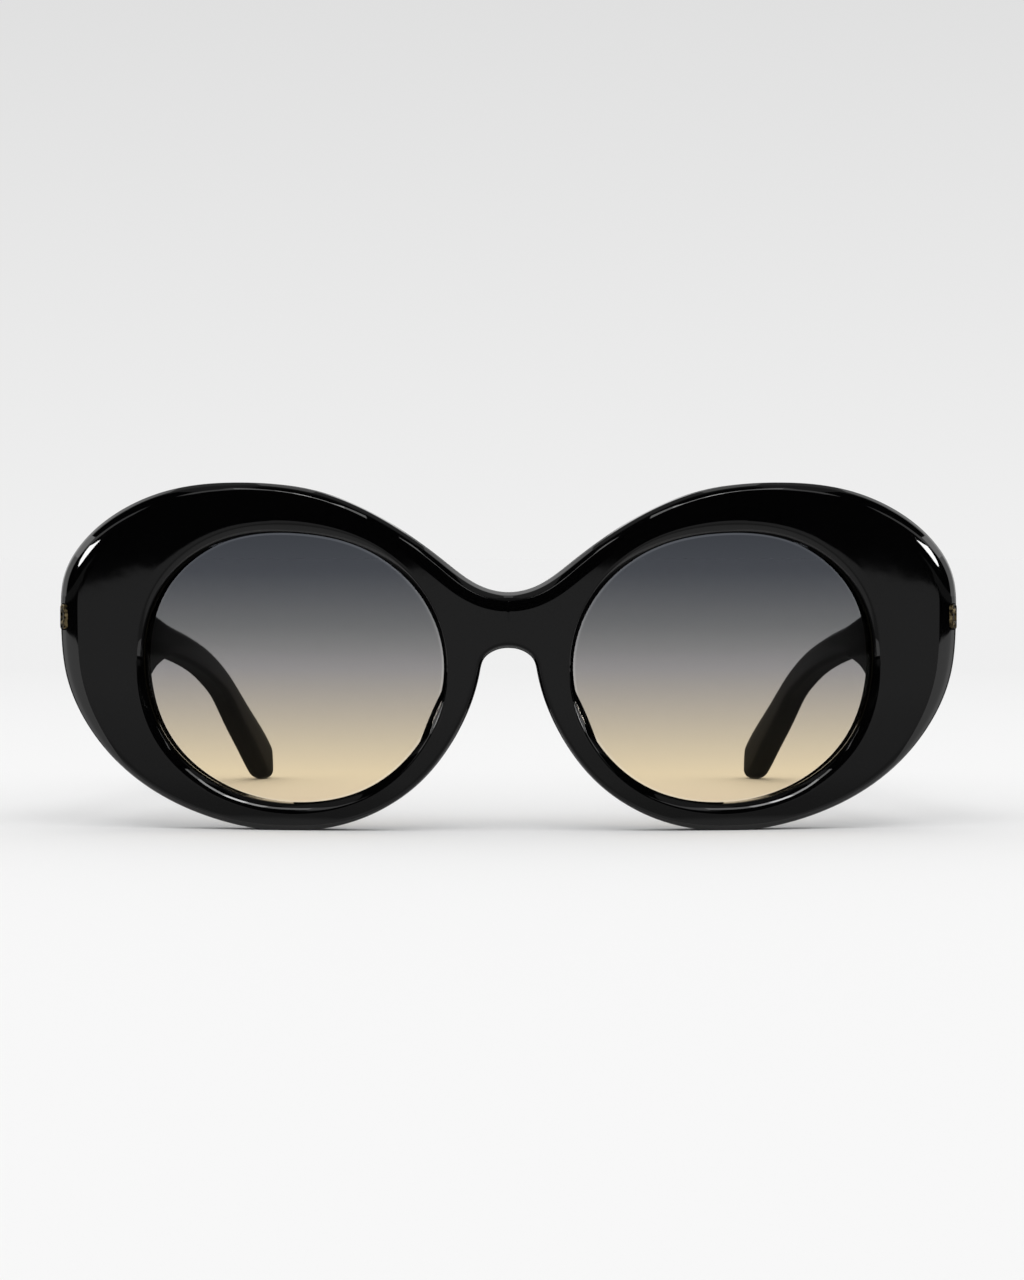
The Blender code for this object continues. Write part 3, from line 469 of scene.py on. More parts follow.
def marked(tree, mark):
    """1 on the faces that carry this mark, and 0 on the others."""
    node = tree.nodes.new("ShaderNodeAttribute")
    node.attribute_name = mark
    return node.outputs["Fac"]


def spread(tree, value, low, high):
    """A value from 0 to 1 spread between two others."""
    return made(tree, "MapRange", {"Value": value, "To Min": low, "To Max": high})


def blend(tree, value, low, high):
    """A colour between two others."""
    node = tree.nodes.new("ShaderNodeMix")
    node.data_type = "RGBA"
    fill(tree, node, {"Factor": value, "A": (*low, 1), "B": (*high, 1)})
    return node.outputs["Result"]


def grain(tree, value, distance, strength):
    """The surface raised by a value, by this distance at most."""
    return made(tree, "Bump", {"Height": value, "Distance": distance, "Strength": strength})


def mixed(tree, value, first, second):
    """One shader where the value is 0, and another where it is 1."""
    return made(tree, "MixShader", {"Fac": value, 1: first, 2: second})


JET = ((0.0006, 0.0006, 0.0007), (0.0012, 0.0012, 0.0013))


def polished_acetate():
    """Black acetate polished to a deep gloss, with a faint unevenness left by the wheel."""
    material, tree, shader = new_finish("polished_black_acetate")
    fill(tree, shader, {
        "Base Color": blend(tree, mottle(tree, 90), *JET),
        "Roughness": spread(tree, mottle(tree, 1400, 4), 0.015, 0.04),
        "Normal": grain(tree, mottle(tree, 120), 0.00004, 0.12),
        "IOR": 1.49,
    })
    dull = blend(tree, mottle(tree, 2000), (0.002, 0.002, 0.002), (0.01, 0.009, 0.006))
    tooled = made(tree, "BsdfDiffuse", {"Color": dull})
    surface = mixed(tree, marked(tree, "tooled"), shader.outputs["BSDF"], tooled)
    fill(tree, tree.nodes["Material Output"], {"Surface": surface})
    return material


def satin_acetate():
    """The temples' acetate, black with a softer gloss."""
    material, tree, shader = new_finish("satin_black_acetate")
    fill(tree, shader, {
        "Base Color": blend(tree, mottle(tree, 60), (0.008, 0.008, 0.008), (0.01, 0.01, 0.01)),
        "Roughness": spread(tree, mottle(tree, 900), 0.27, 0.3),
        "Normal": grain(tree, mottle(tree, 60, 1), 0.00004, 0.1),
        "IOR": 1.35,
    })
    return material


LENS_DYE = (  # height as a share of the lens's, and what one face lets through
    (0.0, (0.92, 0.83, 0.69)),
    (0.12, (0.9, 0.82, 0.67)),
    (0.5, (0.56, 0.55, 0.55)),
    (0.65, (0.415, 0.418, 0.422)),
    (0.85, (0.27, 0.28, 0.3)),
    (1.0, (0.23, 0.24, 0.26)),
)
GLINT_GAMMA = 0.8  # power that lightens the tint on the lens's rim, a painted glint
LENS_GLOSS_IOR = 1.18  # its coating leaves little of the glass's own reflection


def gradient_tint():
    """A clear lens with grey dye at the top, which fades to pale amber at the bottom, and a painted
    glint round its rim.
    """
    material, tree, shader = new_finish("gradient_tint")
    low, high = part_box("lens_left")
    ramp = tree.nodes.new("ShaderNodeValToRGB")
    stops = ramp.color_ramp.elements
    while len(stops) < len(LENS_DYE):
        stops.new(1.0)
    for stop, (share, passed) in zip(stops, LENS_DYE):
        stop.position = share
        stop.color = (*passed, 1)
    fill(tree, ramp, {"Fac": along_axis(tree, "Z", low.z, high.z)})
    # On the marked rim the tint is lightened: a painted glint of the light that runs inside the lens.
    rim_glint = spread(tree, marked(tree, "edge_glint"), 1.0, GLINT_GAMMA)
    dye_and_glint = made(tree, "Gamma", {"Color": ramp.outputs["Color"], "Gamma": rim_glint})
    clear = made(tree, "BsdfTransparent", {"Color": dye_and_glint})
    gloss = made(tree, "BsdfGlossy", {"Roughness": spread(tree, mottle(tree, 60), 0.01, 0.03)})
    surface = mixed(tree, made(tree, "Fresnel", {"IOR": LENS_GLOSS_IOR}), clear, gloss)
    fill(tree, tree.nodes["Material Output"], {"Surface": surface})
    tree.nodes.remove(shader)
    return material


def hinge_steel():
    """Nickel-plated hinge stock, with the fine lines of the tumbler."""
    material, tree, shader = new_finish("plated_hinge_steel")
    fill(tree, shader, {
        "Base Color": blend(tree, mottle(tree, 700, 3), (0.5, 0.49, 0.47), (0.62, 0.61, 0.59)),
        "Roughness": spread(tree, mottle(tree, 1500, 4, (1, 1, 12)), 0.22, 0.38),
        "Normal": grain(tree, mottle(tree, 2500, 2, (1, 1, 10)), 0.00001, 0.3),
        "Metallic": 1.0,
    })
    return material


def antique_gold():
    """Satin gold with darker patina in its pits."""
    material, tree, shader = new_finish("antique_gold_plate")
    worn = spread(tree, mottle(tree, 1300, 3), -1.1, 1.5)
    fill(tree, shader, {
        "Base Color": blend(tree, worn, (0.005, 0.004, 0.003), (0.4, 0.31, 0.16)),
        "Roughness": spread(tree, mottle(tree, 2200, 4), 0.22, 0.4),
        "Normal": grain(tree, mottle(tree, 1800, 3), 0.00003, 0.4),
        "Metallic": 1.0,
    })
    return material


BLACK = polished_acetate()
SATIN = satin_acetate()
TINT = gradient_tint()
STEEL = hinge_steel()
GOLD = antique_gold()


def dress(piece, material, body, slot, *nodes):
    """Gives a piece its finish and the body it moves with, and hides the nodes that it stands for."""
    piece.data.materials.clear()
    piece.data.materials.append(material)
    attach(piece, body)
    if nodes:
        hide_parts(*nodes)


# ---- the front


def outline_stations(steps):
    """Places round one lens: (outer point, direction inward, bevel width, on the midline)."""
    right = []
    for across, up, bevel in OUTLINE_SHARES:
        along = LENS_MIDDLE + across * (REACH_OUTSIDE if across > 0 else LENS_MIDDLE)
        height = LENS_LEVEL + up * (REACH_ABOVE if up > 0 else REACH_BELOW)
        right.append((along, height, bevel * OUTER_BEVEL))
    left = [(-along, height, bevel) for along, height, bevel in reversed(right[1:-1])]
    whole = smooth_curve(right + left, steps, closed=True)
    count = (len(right) - 1) * steps + 1
    stations = []
    for i in range(count):
        along, height, bevel = whole[i]
        height = min(height, LENS_LEVEL + REACH_ABOVE)
        travel = Vector((whole[(i + 1) % len(whole)] - whole[i - 1])[:2]).normalized()
        if i in (0, count - 1):
            along = 0.0
            travel = Vector((1.0 if i == 0 else -1.0, 0.0))
        stations.append((Vector((along, height)), Vector((travel.y, -travel.x)), bevel, False))
    roll = 1 + FACE_ROLL / OUTER_BEVEL
    ends = stations[-1], stations[0]
    underside, top = (place + inward * bevel * roll for place, inward, bevel, _ in ends)
    for step in range(1, MIDLINE_STEPS):
        place = underside.lerp(top, step / MIDLINE_STEPS)
        stations.append((place, Vector((0, 0)), 0.0, True))
    return stations


def station_angles(stations):
    """An angle round the opening for each place of the outline, spread evenly enough."""
    count = len(stations)
    found = []
    for outer, _, _, _ in stations:
        across = (outer.x - LENS_MIDDLE) / OPENING_WIDTH
        up = (outer.y - LENS_LEVEL) / OPENING_HEIGHT
        found.append(atan2(up, across))
    found = np.unwrap(found)
    even = -2 * pi * np.arange(count) / count
    astray = found - even
    for _ in range(EVENING_ROUNDS):
        astray = (np.roll(astray, 1) + 2 * astray + np.roll(astray, -1)) / 4
    return even + astray


def rounding(start, corner, end, share):
    """A place on a curve that is drawn towards the corner on its way from start to end."""
    return start.lerp(corner, share).lerp(corner.lerp(end, share), share)


def rounded_corner(before, corner, after, radius):
    """Points round a corner of a section, at most so far from it."""
    to_before, to_after = before - corner, after - corner
    start = corner + to_before.normalized() * min(radius, to_before.length * 0.45)
    end = corner + to_after.normalized() * min(radius, to_after.length * 0.45)
    return [rounding(start, corner, end, step / 3) for step in range(4)]


def face_corners(angle, station):
    """Corners from the groove's bottom over the inner bevel, the face and the outer bevel."""
    outer, inward, bevel, on_midline = station
    near, far = BRIDGE_SCOOP_REACH
    deep = bevel * (1 + BRIDGE_SCOOP * smoothstep((far - outer.x) / (far - near)))
    edge = opening_edge(angle)
    face_inner = opening_edge(angle, INNER_BEVEL * inner_bevel(angle))
    face_outer = outer + inward * bevel
    roll_start = face_outer if on_midline else outer + inward * bevel * (1 + FACE_ROLL / OUTER_BEVEL)
    crown_in, crown_back = INNER_CROWN
    foot, top = Vector((*edge, INNER_BEVEL_DEPTH)), Vector((*face_inner, 0.0))
    crown = Vector((*edge.lerp(face_inner, crown_in), INNER_BEVEL_DEPTH * crown_back))
    ridge_in, ridge_back = BEVEL_RIDGE
    ridge = Vector((*(outer + inward * bevel * ridge_in), deep * ridge_back))
    start, rolled = Vector((*roll_start, 0.0)), Vector((*face_outer, 0.0))
    end = rolled.lerp(ridge, ROLL_END)
    return [
        (Vector((*opening_edge(angle, GROOVE_DEPTH), GROOVE_SET_BACK)), None),
        (Vector((*edge, GROOVE_SET_BACK - GROOVE_DEPTH)), None),
        (foot, BUFFED),
        *((rounding(foot, crown, top, share), None) for share in CROWN_STEPS),
        (top, BUFFED),
        *((Vector((*face_inner.lerp(roll_start, share), 0.0)), None) for share in FACE_STEPS),
        *((rounding(start, rolled, end, share), None) for share in ROLL_STEPS),
        (ridge, BUFFED),
        (Vector((*outer, deep)), BUFFED),
    ]


def back_corners(angle, station):
    """Corners down the edge, across the back with its thicker end, and into the groove."""
    outer, inward, _, on_midline = station
    edge = opening_edge(angle)
    back_inner = opening_edge(angle, BACK_BEVEL)
    back_outer = outer if on_midline else outer + inward * BACK_BEVEL
    corners = [
        (Vector((*outer, thickness_at(*outer) - BACK_BEVEL)), BUFFED),
        (Vector((*back_outer, thickness_at(*back_outer))), BUFFED),
    ]
    for step in range(BACK_STEPS - 1, 0, -1):
        from_edge = END_RAMP_START + END_RAMP_LENGTH * step / BACK_STEPS
        share = min(from_edge / (outer - edge).length, step / BACK_STEPS)
        place = back_inner.lerp(back_outer, share)
        corners.append((Vector((*place, thickness_at(*place))), None))
    return corners + [
        (Vector((*back_inner, RIM_THICKNESS)), BUFFED),
        (Vector((*edge, RIM_THICKNESS - BACK_BEVEL)), BUFFED),
        (Vector((*edge, GROOVE_SET_BACK + GROOVE_DEPTH)), None),
    ]


def rim_section(angle, station):
    """The rim's section. Each corner comes with how far it is rounded."""
    corners = face_corners(angle, station) + back_corners(angle, station)
    section = []
    for i, (corner, radius) in enumerate(corners):
        if radius:
            before, after = corners[i - 1][0], corners[(i + 1) % len(corners)][0]
            section += rounded_corner(before, corner, after, radius)
        else:
            section.append(corner)
    return section


def bevel_frame():
    """A matrix on the outer bevel at a shield's middle: X out of the bevel, Y to the back, Z up."""
    along = FRONT_HALF_LENGTH - OUTER_BEVEL / 2
    turn = along / FRONT_CURVE - pi / 4
    place = bent(along, OUTER_BEVEL / 2, WIDEST_HEIGHT - SHIELD_DROP)
    crowned = Matrix.Translation((SHIELD_RISE, -SHIELD_SHIFT, 0))
    return Matrix.Translation(place) @ Matrix.Rotation(turn, 4, "Z") @ crowned


def shield_rings(steps):
    """Rings of a shield's shape, each with its inset from the edge and its place out."""
    place = bevel_frame()
    rings = []
    for inset, out in steps:
        size = (SHIELD_WIDTH - 2 * inset, SHIELD_HEIGHT - 2 * inset, SHIELD_CORNER - inset)
        points = rounded_rectangle(*size, 10)
        rings.append([place @ Vector((out, -across, rise)) for across, rise in points])
    return rings


def round_opening(place):
    """How far a place is outside the opening's edge, and behind the front face."""
    x, y, height = place
    y = FRONT_CURVE - (y - BRIDGE_FACE)
    across = (atan2(abs(x), y) * FRONT_CURVE - LENS_MIDDLE) / (OPENING_WIDTH / 2)
    up = (height - LENS_LEVEL) / (OPENING_HEIGHT / 2)
    edge = float(np.interp(atan2(up, across), OPENING_ANGLES, OPENING_CURVE, period=2 * pi))
    return (hypot(across, up) - edge) * OPENING_WIDTH / 2, FRONT_CURVE - hypot(x, y)


def mark_groove(front):
    """Marks the lens groove and the wall behind it, which are left as the cutter made them."""
    marks = front.data.attributes.new("tooled", "FLOAT", "FACE")
    for face, mark in zip(front.data.polygons, marks.data):
        outside, depth = round_opening(face.center)
        behind = INNER_BEVEL_DEPTH * 1.2 < depth < RIM_THICKNESS - BACK_BEVEL * 0.5
        mark.value = behind and outside < GROOVE_DEPTH * 1.3


def mark_lens_glint(lens):
    """Marks the rim of the lens, where the tint is lightened as a painted glint of the light that runs
    inside the lens.
    """
    marks = lens.data.attributes.new("edge_glint", "FLOAT", "FACE")
    for face, mark in zip(lens.data.polygons, marks.data):
        mark.value = round_opening(face.center)[0] > -LENS_FIT - GLINT_RIM


def front_cutters(side):
    """Cutters for the pockets of one side's hinge leaf and shield."""
    mirror = Matrix.Scale(side, 4, Vector((1, 0, 0)))
    back = BRIDGE_FACE + JOINT_SET_BACK - FRONT_LEAF_INSET
    front, rise = back - FRONT_LEAF_THICKNESS, LEAF_HEIGHT / 2
    low = Vector((PIVOT_OUT - LEAF_INNER_WIDTH, front, HINGE_HEIGHT - rise))
    high = Vector((PIVOT_OUT + LEAF_OUTER_WIDTH, back, HINGE_HEIGHT + rise))
    room = Vector((SEAT_GAP,) * 3)
    pocket = block("leaf_pocket", low - room, high + room + Vector((0, OVERRUN, 0)), mirror)
    steps = ((-SEAT_GAP / 2, -SHIELD_SUNK), (-SEAT_GAP / 2, OVERRUN))
    seat = lofted("shield_pocket", shield_rings(steps))
    seat.data.transform(mirror)
    if side < 0:
        pocket.data.flip_normals()
        seat.data.flip_normals()
    return pocket, seat


def polished_front():
    """Both rims, the bridge and the end pieces, milled from one plate of acetate."""
    stations = outline_stations(10)
    sections = map(rim_section, station_angles(stations), stations)
    rings = [[bent(p.x, p.z, p.y) for p in ring] for ring in zip(*sections)]
    front = lofted("polished_front", rings, "joined")
    edit(front, "DESELECT")
    mesh = bmesh.from_edit_mesh(front.data)
    for face in mesh.faces:
        face.select = all(abs(vertex.co.x) < ON_MIDLINE for vertex in face.verts)
    bmesh.update_edit_mesh(front.data)
    bpy.ops.mesh.delete(type="FACE")
    bpy.ops.object.mode_set(mode="OBJECT")
    worked(front, "MIRROR", use_mirror_merge=True, merge_threshold=2 * ON_MIDLINE)
    back = BRIDGE_FACE + JOINT_SET_BACK
    behind = (BEYOND, back + 2 * MARGIN, SAW_HEIGHT)
    cut_away(front, block("joint_saw", (-BEYOND, back, -MARGIN), behind))
    before = (-BEYOND, BRIDGE_FACE - MARGIN, -MARGIN)
    cut_away(front, block("rest_file", before, (BEYOND, back, 0)))
    for side in (1, -1):
        for cutter in front_cutters(side):
            cut_away(front, cutter)
    smoothed(front)
    dress(front, BLACK, "front", "black_acetate", "front")
    mark_groove(front)


# ---- lenses and nose pads


def gradient_lens():
    """A domed lens with a ridge round its edge, seated in the groove."""
    turns = [-2 * pi * i / LENS_SIDES for i in range(LENS_SIDES)]
    ridge = LENS_THICKNESS / 2 * LENS_RIDGE_SHARE
    tip = GROOVE_DEPTH - SEAT_GAP * sqrt(2) - LENS_CHAMFER

    def ring(depth, share=1.0, outward=-LENS_FIT):
        dome = LENS_CROWN * (1 - share * share)
        places = [opening_edge(turn, outward, share) for turn in turns]
        return [bent(place.x, depth - dome, place.y) for place in places]

    def half(side):
        """The rings from the middle of one face to the tip of the ridge."""
        face = GROOVE_SET_BACK + side * LENS_THICKNESS / 2
        return [
            *(ring(face, share) for share in LENS_SHARES),
            *(ring(face, 1.0, -LENS_FIT - inset) for inset in (GLINT_RIM, LENS_CHAMFER)),
            ring(face - side * LENS_CHAMFER),
            ring(GROOVE_SET_BACK + side * ridge),
            ring(GROOVE_SET_BACK + side * LENS_CHAMFER, outward=tip),
        ]

    lens = lofted("gradient_lens_left", half(-1) + half(1)[::-1], "pointed")
    mark_lens_glint(lens)
    return lens


def nose_pad():
    """A leaf-shaped pad on the back of the nose side, leaning towards the lens."""
    stations, points = 40, 20
    rings = []
    for i in range(stations):
        share = (i + 0.6) / (stations + 0.2)
        fullness = sin(pi * share) ** PAD_ROUNDNESS
        angle = PAD_TOP_ANGLE + (PAD_BOTTOM_ANGLE - PAD_TOP_ANGLE) * share
        half_width = PAD_WIDTH / 2 * (PAD_END_SHARE + (1 - PAD_END_SHARE) * fullness)
        corners = []
        for k in range(points):
            turn = pi * k / (points - 1)
            lean = PAD_FLARE * fullness * sin(turn)
            place = opening_edge(angle, PAD_ROOT + half_width * cos(turn) - lean)
            rise = PAD_DEPTH * fullness * sin(turn)
            corners.append(bent(place.x, RIM_THICKNESS + rise, place.y))
        rings.append(corners)
    return lofted("nose_pad_acetate_left", rings, "capped")


# ---- temples


def temple_line(steps):
    """Rows along the temple's middle line, as in the table but in metres."""
    rows = np.array(TEMPLE_SHARES) * (TEMPLE_LENGTH, HINGE_HEIGHT, TEMPLE_END_HEIGHT, TEMPLE_THICKNESS)
    rows[:, 0] += TEMPLE_START
    return smooth_curve(rows, steps)


TEMPLE_ROWS = [(place * TEMPLE_LENGTH, inward * TEMPLE_INWARD) for place, inward in TEMPLE_PLAN]
TEMPLE_BACKS, TEMPLE_INWARDS = smooth_curve(TEMPLE_ROWS, 24).T


def temple_inner_face(back):
    """How far from the middle the temple's inner face is, at a distance back."""
    return JOINT_HALF_WIDTH - float(np.interp(back - TEMPLE_START, TEMPLE_BACKS, TEMPLE_INWARDS))


def rounded_rectangle(width, height, corner, steps, side_steps=1):
    """Points of a rounded rectangle round its middle, clockwise from its upper left."""
    corner = min(corner, width / 2, height / 2)
    points = []
    for quarter, (right, up) in enumerate(((-1, 1), (1, 1), (1, -1), (-1, -1))):
        for step in range(steps + 1):
            turn = pi - (quarter + step / steps) * pi / 2
            across = right * (width / 2 - corner) + corner * cos(turn)
            rise = up * (height / 2 - corner) + corner * sin(turn)
            points.append(Vector((across, rise)))
    filled = []
    for i, point in enumerate(points):
        after = points[(i + 1) % len(points)]
        filled.append(point)
        if i % (steps + 1) == steps:
            filled += [point.lerp(after, step / side_steps) for step in range(1, side_steps)]
    return filled


def temple_ring(back, height, tall, thick, tilt, beyond):
    """One section of the temple, moved beyond its place along the middle line."""
    middle_out = temple_inner_face(back) + thick / 2
    past = (back - TEMPLE_START) / TEMPLE_LENGTH - TIP_EDGE_START
    edge = TEMPLE_EDGE + (TIP_EDGE - TEMPLE_EDGE) * smoothstep(past / TIP_EDGE_SPAN)
    ring = []
    for out, rise in rounded_rectangle(thick, tall, edge, 5, 3):
        y = back + beyond * cos(tilt) - rise * sin(tilt)
        z = height + beyond * sin(tilt) + rise * cos(tilt)
        drift = temple_inner_face(y) - temple_inner_face(back)
        ring.append(Vector((middle_out + drift + out, BRIDGE_FACE + y, z)))
    return ring


def temple_frame():
    """A matrix at the temple's inner front corner: X out, Y along the temple's inner face."""
    corner = Matrix.Translation((JOINT_HALF_WIDTH, BRIDGE_FACE + TEMPLE_START, HINGE_HEIGHT))
    return corner @ Matrix.Rotation(TEMPLE_SPLAY, 4, "Z")


def temple_side():
    """One temple, from its square joint end over the arch and the thin bend to the broad tip."""
    line = temple_line(8)
    line = [row for row in line if row[0] <= TEMPLE_START + TEMPLE_LENGTH - TIP_BACK]
    rings = []
    for i, (back, height, tall, thick) in enumerate(line):
        slope = line[min(i + 1, len(line) - 1)][:2] - line[max(i - 1, 0)][:2]
        tilt = atan2(slope[1], slope[0]) if i else 0.0
        rings.append((back, height, tall, thick, tilt, 0.0))
    back, height, tall, thick, tilt, _ = rings[-1]
    for step in range(1, TIP_STEPS + 1):
        turn = radians(10) * step
        thinned = TIP_ROUND * (1 - cos(turn))
        lowered = TIP_NOSE * (1 - cos(turn))
        beyond = TIP_REACH * sin(turn)
        rings.append((back, height, tall - 2 * lowered, thick - 2 * thinned, tilt, beyond))
    temple = lofted("temple_side_left", [temple_ring(*ring) for ring in rings], "capped")
    start = (temple_frame().inverted() @ Vector((PIVOT_OUT, BRIDGE_FACE + PIVOT_BACK, HINGE_HEIGHT))).y
    start += BARREL_RADIUS + SEAT_GAP
    tall = LEAF_HEIGHT / 2 + SEAT_GAP
    low = (-TEMPLE_THICKNESS, -OVERRUN, -tall)
    high = (TEMPLE_LEAF_SUNK + SEAT_GAP, start + TEMPLE_LEAF_LENGTH + SEAT_GAP, tall)
    cut_away(temple, block("leaf_recess", low, high, temple_frame()))
    cut_away(temple, block("rest_file", (0, BRIDGE_FACE, -MARGIN), (BEYOND, BEYOND, 0)))
    return temple


# ---- hinges, shields and rivets


def refined_copy(node, name):
    """A CAD piece's shape, merged, with its sharp edges eased."""
    piece = bpy.data.objects.new(name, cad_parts[node].data.copy())
    bpy.context.collection.objects.link(piece)
    edit(piece)
    bpy.ops.mesh.remove_doubles(threshold=SAME_PLACE)
    bpy.ops.mesh.dissolve_limited(angle_limit=radians(1))
    bpy.ops.object.mode_set(mode="OBJECT")
    limit = {"limit_method": "ANGLE", "angle_limit": radians(40)}
    worked(piece, "BEVEL", width=METAL_EASE, segments=2, **limit)
    smoothed(piece, 30)
    return piece


def trim_shield():
    """A small shield with a raised border round its field."""
    seat = SEAT_GAP - SHIELD_SUNK
    face = seat + SHIELD_THICKNESS
    ease = METAL_EASE
    steps = (
        (0.0, seat),
        (0.0, face - 2 * ease),
        (ease / 2, face - ease / 2),
        (2 * ease, face),
        (SHIELD_BORDER - ease, face),
        (SHIELD_BORDER, face - ease),
        (SHIELD_BORDER + ease / 2, face - SHIELD_FIELD_DEPTH + ease / 2),
        (SHIELD_BORDER + 2 * ease, face - SHIELD_FIELD_DEPTH),
    )
    return lofted("trim_shield_left", shield_rings(steps), "capped")


def rivet_head(level):
    """The domed head of a rivet on the shield's field."""
    rise = -RIVET_SPACING / 2 if level == "lower" else RIVET_SPACING / 2
    place = bevel_frame() @ Matrix.Translation((-SHIELD_SUNK, 0, rise))
    base = SEAT_GAP + SHIELD_THICKNESS - SHIELD_FIELD_DEPTH
    turns = [2 * pi * k / RIVET_SIDES for k in range(RIVET_SIDES)]
    rings = []
    for radius, height in RIVET_DOME:
        out, across = base + RIVET_HEAD_HEIGHT * height, RIVET_HEAD_RADIUS * radius
        rings.append([place @ Vector((out, across * cos(turn), across * sin(turn))) for turn in turns])
    return lofted(f"rivet_head_left_{level}", rings, "capped")


def pair(piece, material, body, slot, *nodes):
    """Dresses a left piece, and makes and dresses its twin for the right."""
    twin = mirrored(piece, piece.name.replace("left", "right"))
    for one, side in ((piece, "left"), (twin, "right")):
        smoothed(one)
        replaced = [node.replace("left", side) for node in nodes]
        dress(one, material, body.replace("left", side), slot, *replaced)


polished_front()
pair(gradient_lens(), TINT, "front", "tinted_lens", "lens_left")
pair(nose_pad(), BLACK, "front", "black_acetate", "nose_pad_left")
pair(temple_side(), SATIN, "temple_left", "temple_acetate", "temple_left")
pair(trim_shield(), GOLD, "front", "antique_gold", "shield_left")
for level in ("lower", "upper"):
    pair(rivet_head(level), GOLD, "front", "antique_gold", f"shield_rivet_left_{level}")
for side in ("left", "right"):
    for kind in ("front_hinge", "temple_hinge", "hinge_screw"):
        node = f"{kind}_{side}"
        body = f"temple_{side}" if kind == "temple_hinge" else "front"
        dress(refined_copy(node, f"eased_{node}"), STEEL, body, "hinge_steel", node)
    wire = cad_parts[f"core_wire_{side}"].data
    wire.materials.clear()
    wire.materials.append(STEEL)


# ---- studio


CAMERA_DISTANCE = 0.6  # from the bridge
CAMERA_HEIGHT = 0.04515
PHOTO_HEIGHT = 1280  # of the photo's frame, in pixels
PHOTO_FOCAL_LENGTH = 3636  # in pixels
PHOTO_SHIFT = (3.5, -82)  # in pixels
SENSOR_HEIGHT = 36

FLOOR_REACH = 200
FLOOR_SHADE_REACH = (0.1, 0.8)  # behind the middle, where painted shade begins and ends to darken the floor
# The floor's grey near the frame, and far behind it, where painted shade darkens it
FLOOR_GREY_AND_SHADE = ((0.866, 0.866, 0.866), (0.8, 0.8, 0.8))
BACKDROP_SHADE_HEIGHT = 0.16  # height of a direction where the backdrop's painted shade is deepest
# The backdrop's tone at the horizon, and higher up, where painted shade darkens it
BACKDROP_TONES_AND_SHADE = (0.87, 0.74)
LIGHT_OF_SKY = 0.85

# Cards that only reflections show. A tone of 1 is white. Directions are in degrees.
DOME_MIDDLE = Vector((0, BRIDGE_FACE, 0.035))
DOME_FACET = 6
DOME_CARDS = (  # name, azimuths, elevations, radius, tone
    ("black_surround", (-103, 103), (-0.2, 75), 15, 0.0),
    ("black_ceiling", (-180, 180), (75, 90), 15, 0.1),
)
SIDE_DOME_CARDS = (  # the same, on each side
    ("top_flag", (40, 103), (57, 75), 14, 0.2),
    ("back_flag", (103, 167), (45, 75), 14, 0.2),
    ("horizon_flag", (40, 92), (-0.2, 2), 13.9, 0.12),
    ("side_panel", (92, 122), (1.5, 22), 10, 1.1),
    ("side_light", (92, 122), (22, 31), 10, 2.1),
    ("upper_panel", (50, 92), (23, 30), 10, 0.85),
)
SOFTBOX_RADIUS = 8
SOFTBOX_TONE = 25.0
SOFTBOX_OUTLINE = (  # azimuth and elevation
    (52, 13.5), (56, 15.8), (60, 17.2), (66, 19.8), (71, 21.6), (70.5, 19.5),
    (66, 14.6), (61, 10.5), (57, 8.6), (53.5, 8.4), (52, 10),
)

BLACK_GROUND = (  # name, right and left end, front and back
    ("front", -16, 16, -16, -0.95),
    ("right", -16, -0.95, -0.95, 0.6),
    ("left", 0.95, 16, -0.95, 0.6),
)
BLACK_LEVEL = 0.0003
GROUND_BEHIND = ((0.09, -0.04), (1.5, 0.6), (1.5, 3), (-1.5, 3), (-1.5, 0.6), (-0.09, -0.04))
BEHIND_LEVEL = 0.0004
BEHIND_TONE = 0.06
FRONT_OF_RIM = BRIDGE_FACE - 0.0012
APRON_NEAR = ((-0.5266, -0.5766), (-0.085, FRONT_OF_RIM), (0.085, FRONT_OF_RIM), (0.5266, -0.5766))
APRON_FAR = (
    APRON_NEAR[0], (-3.0, -3.4), (-7.8, -11.6), (0, -14), (7.8, -11.6), (3.0, -3.4), APRON_NEAR[3],
)
APRON_LEVEL = 0.0005
APRON_TONES = (  # how far in front of the bridge, and a tone
    (0.0, 0.45), (0.013, 0.42), (0.022, 0.21), (0.06, 0.23), (0.12, 0.3), (0.5, 0.37),
)

BAR_HEIGHT = 0.135
BAR_HALF_DEPTH = 0.005
BAR_LINE = (  # across and in front of the bridge, from the middle outwards
    (0.0, 0.046), (0.013, 0.045), (0.022, 0.048), (0.036, 0.047),
    (0.047, 0.041), (0.056, 0.037), (0.075, 0.028),
)
BAR_TONES = (2.6, 6.0, 6.0, 14.0, 6.0, 2.5)  # of the parts between
BAR_END = (
    (0.075, 0.022), (0.075, 0.036), (0.096, 0.06), (0.12, 0.075), (0.128, 0.06), (0.1, 0.032),
)
BAR_END_TONE = 1.0

# Upright: how far in front of the bridge, and up
SLOPE_LINE = ((0.0235, 0.085), (0.0169, 0.0752), (0.006, 0.0585), (0.0045, 0.0542), (0.003, 0.0515))
SLOPE_LINE_ACROSS = 0.0004
SLOPE_LINE_RISE = 0.0018
SLOPE_LINE_TONE = 2.6
MIDDLE_FLAG = (
    (0.002, 0.047), (0.012, 0.034), (1.5, 0.034), (1.5, 0.13), (0.02, 0.13), (0.002, 0.065),
)
LENS_FLAG = ((-0.007, 0.0), (-0.12, 0.0), (-0.12, 0.06), (-0.007, 0.06))
LENS_FLAG_ACROSS = 0.036
TEMPLE_FLAG = ((-1.2, 3, 0.0), (1.2, 3, 0.0), (1.2, 3, 0.32), (-1.2, 3, 0.32))
TEMPLE_FLAG_TONE = 0.08


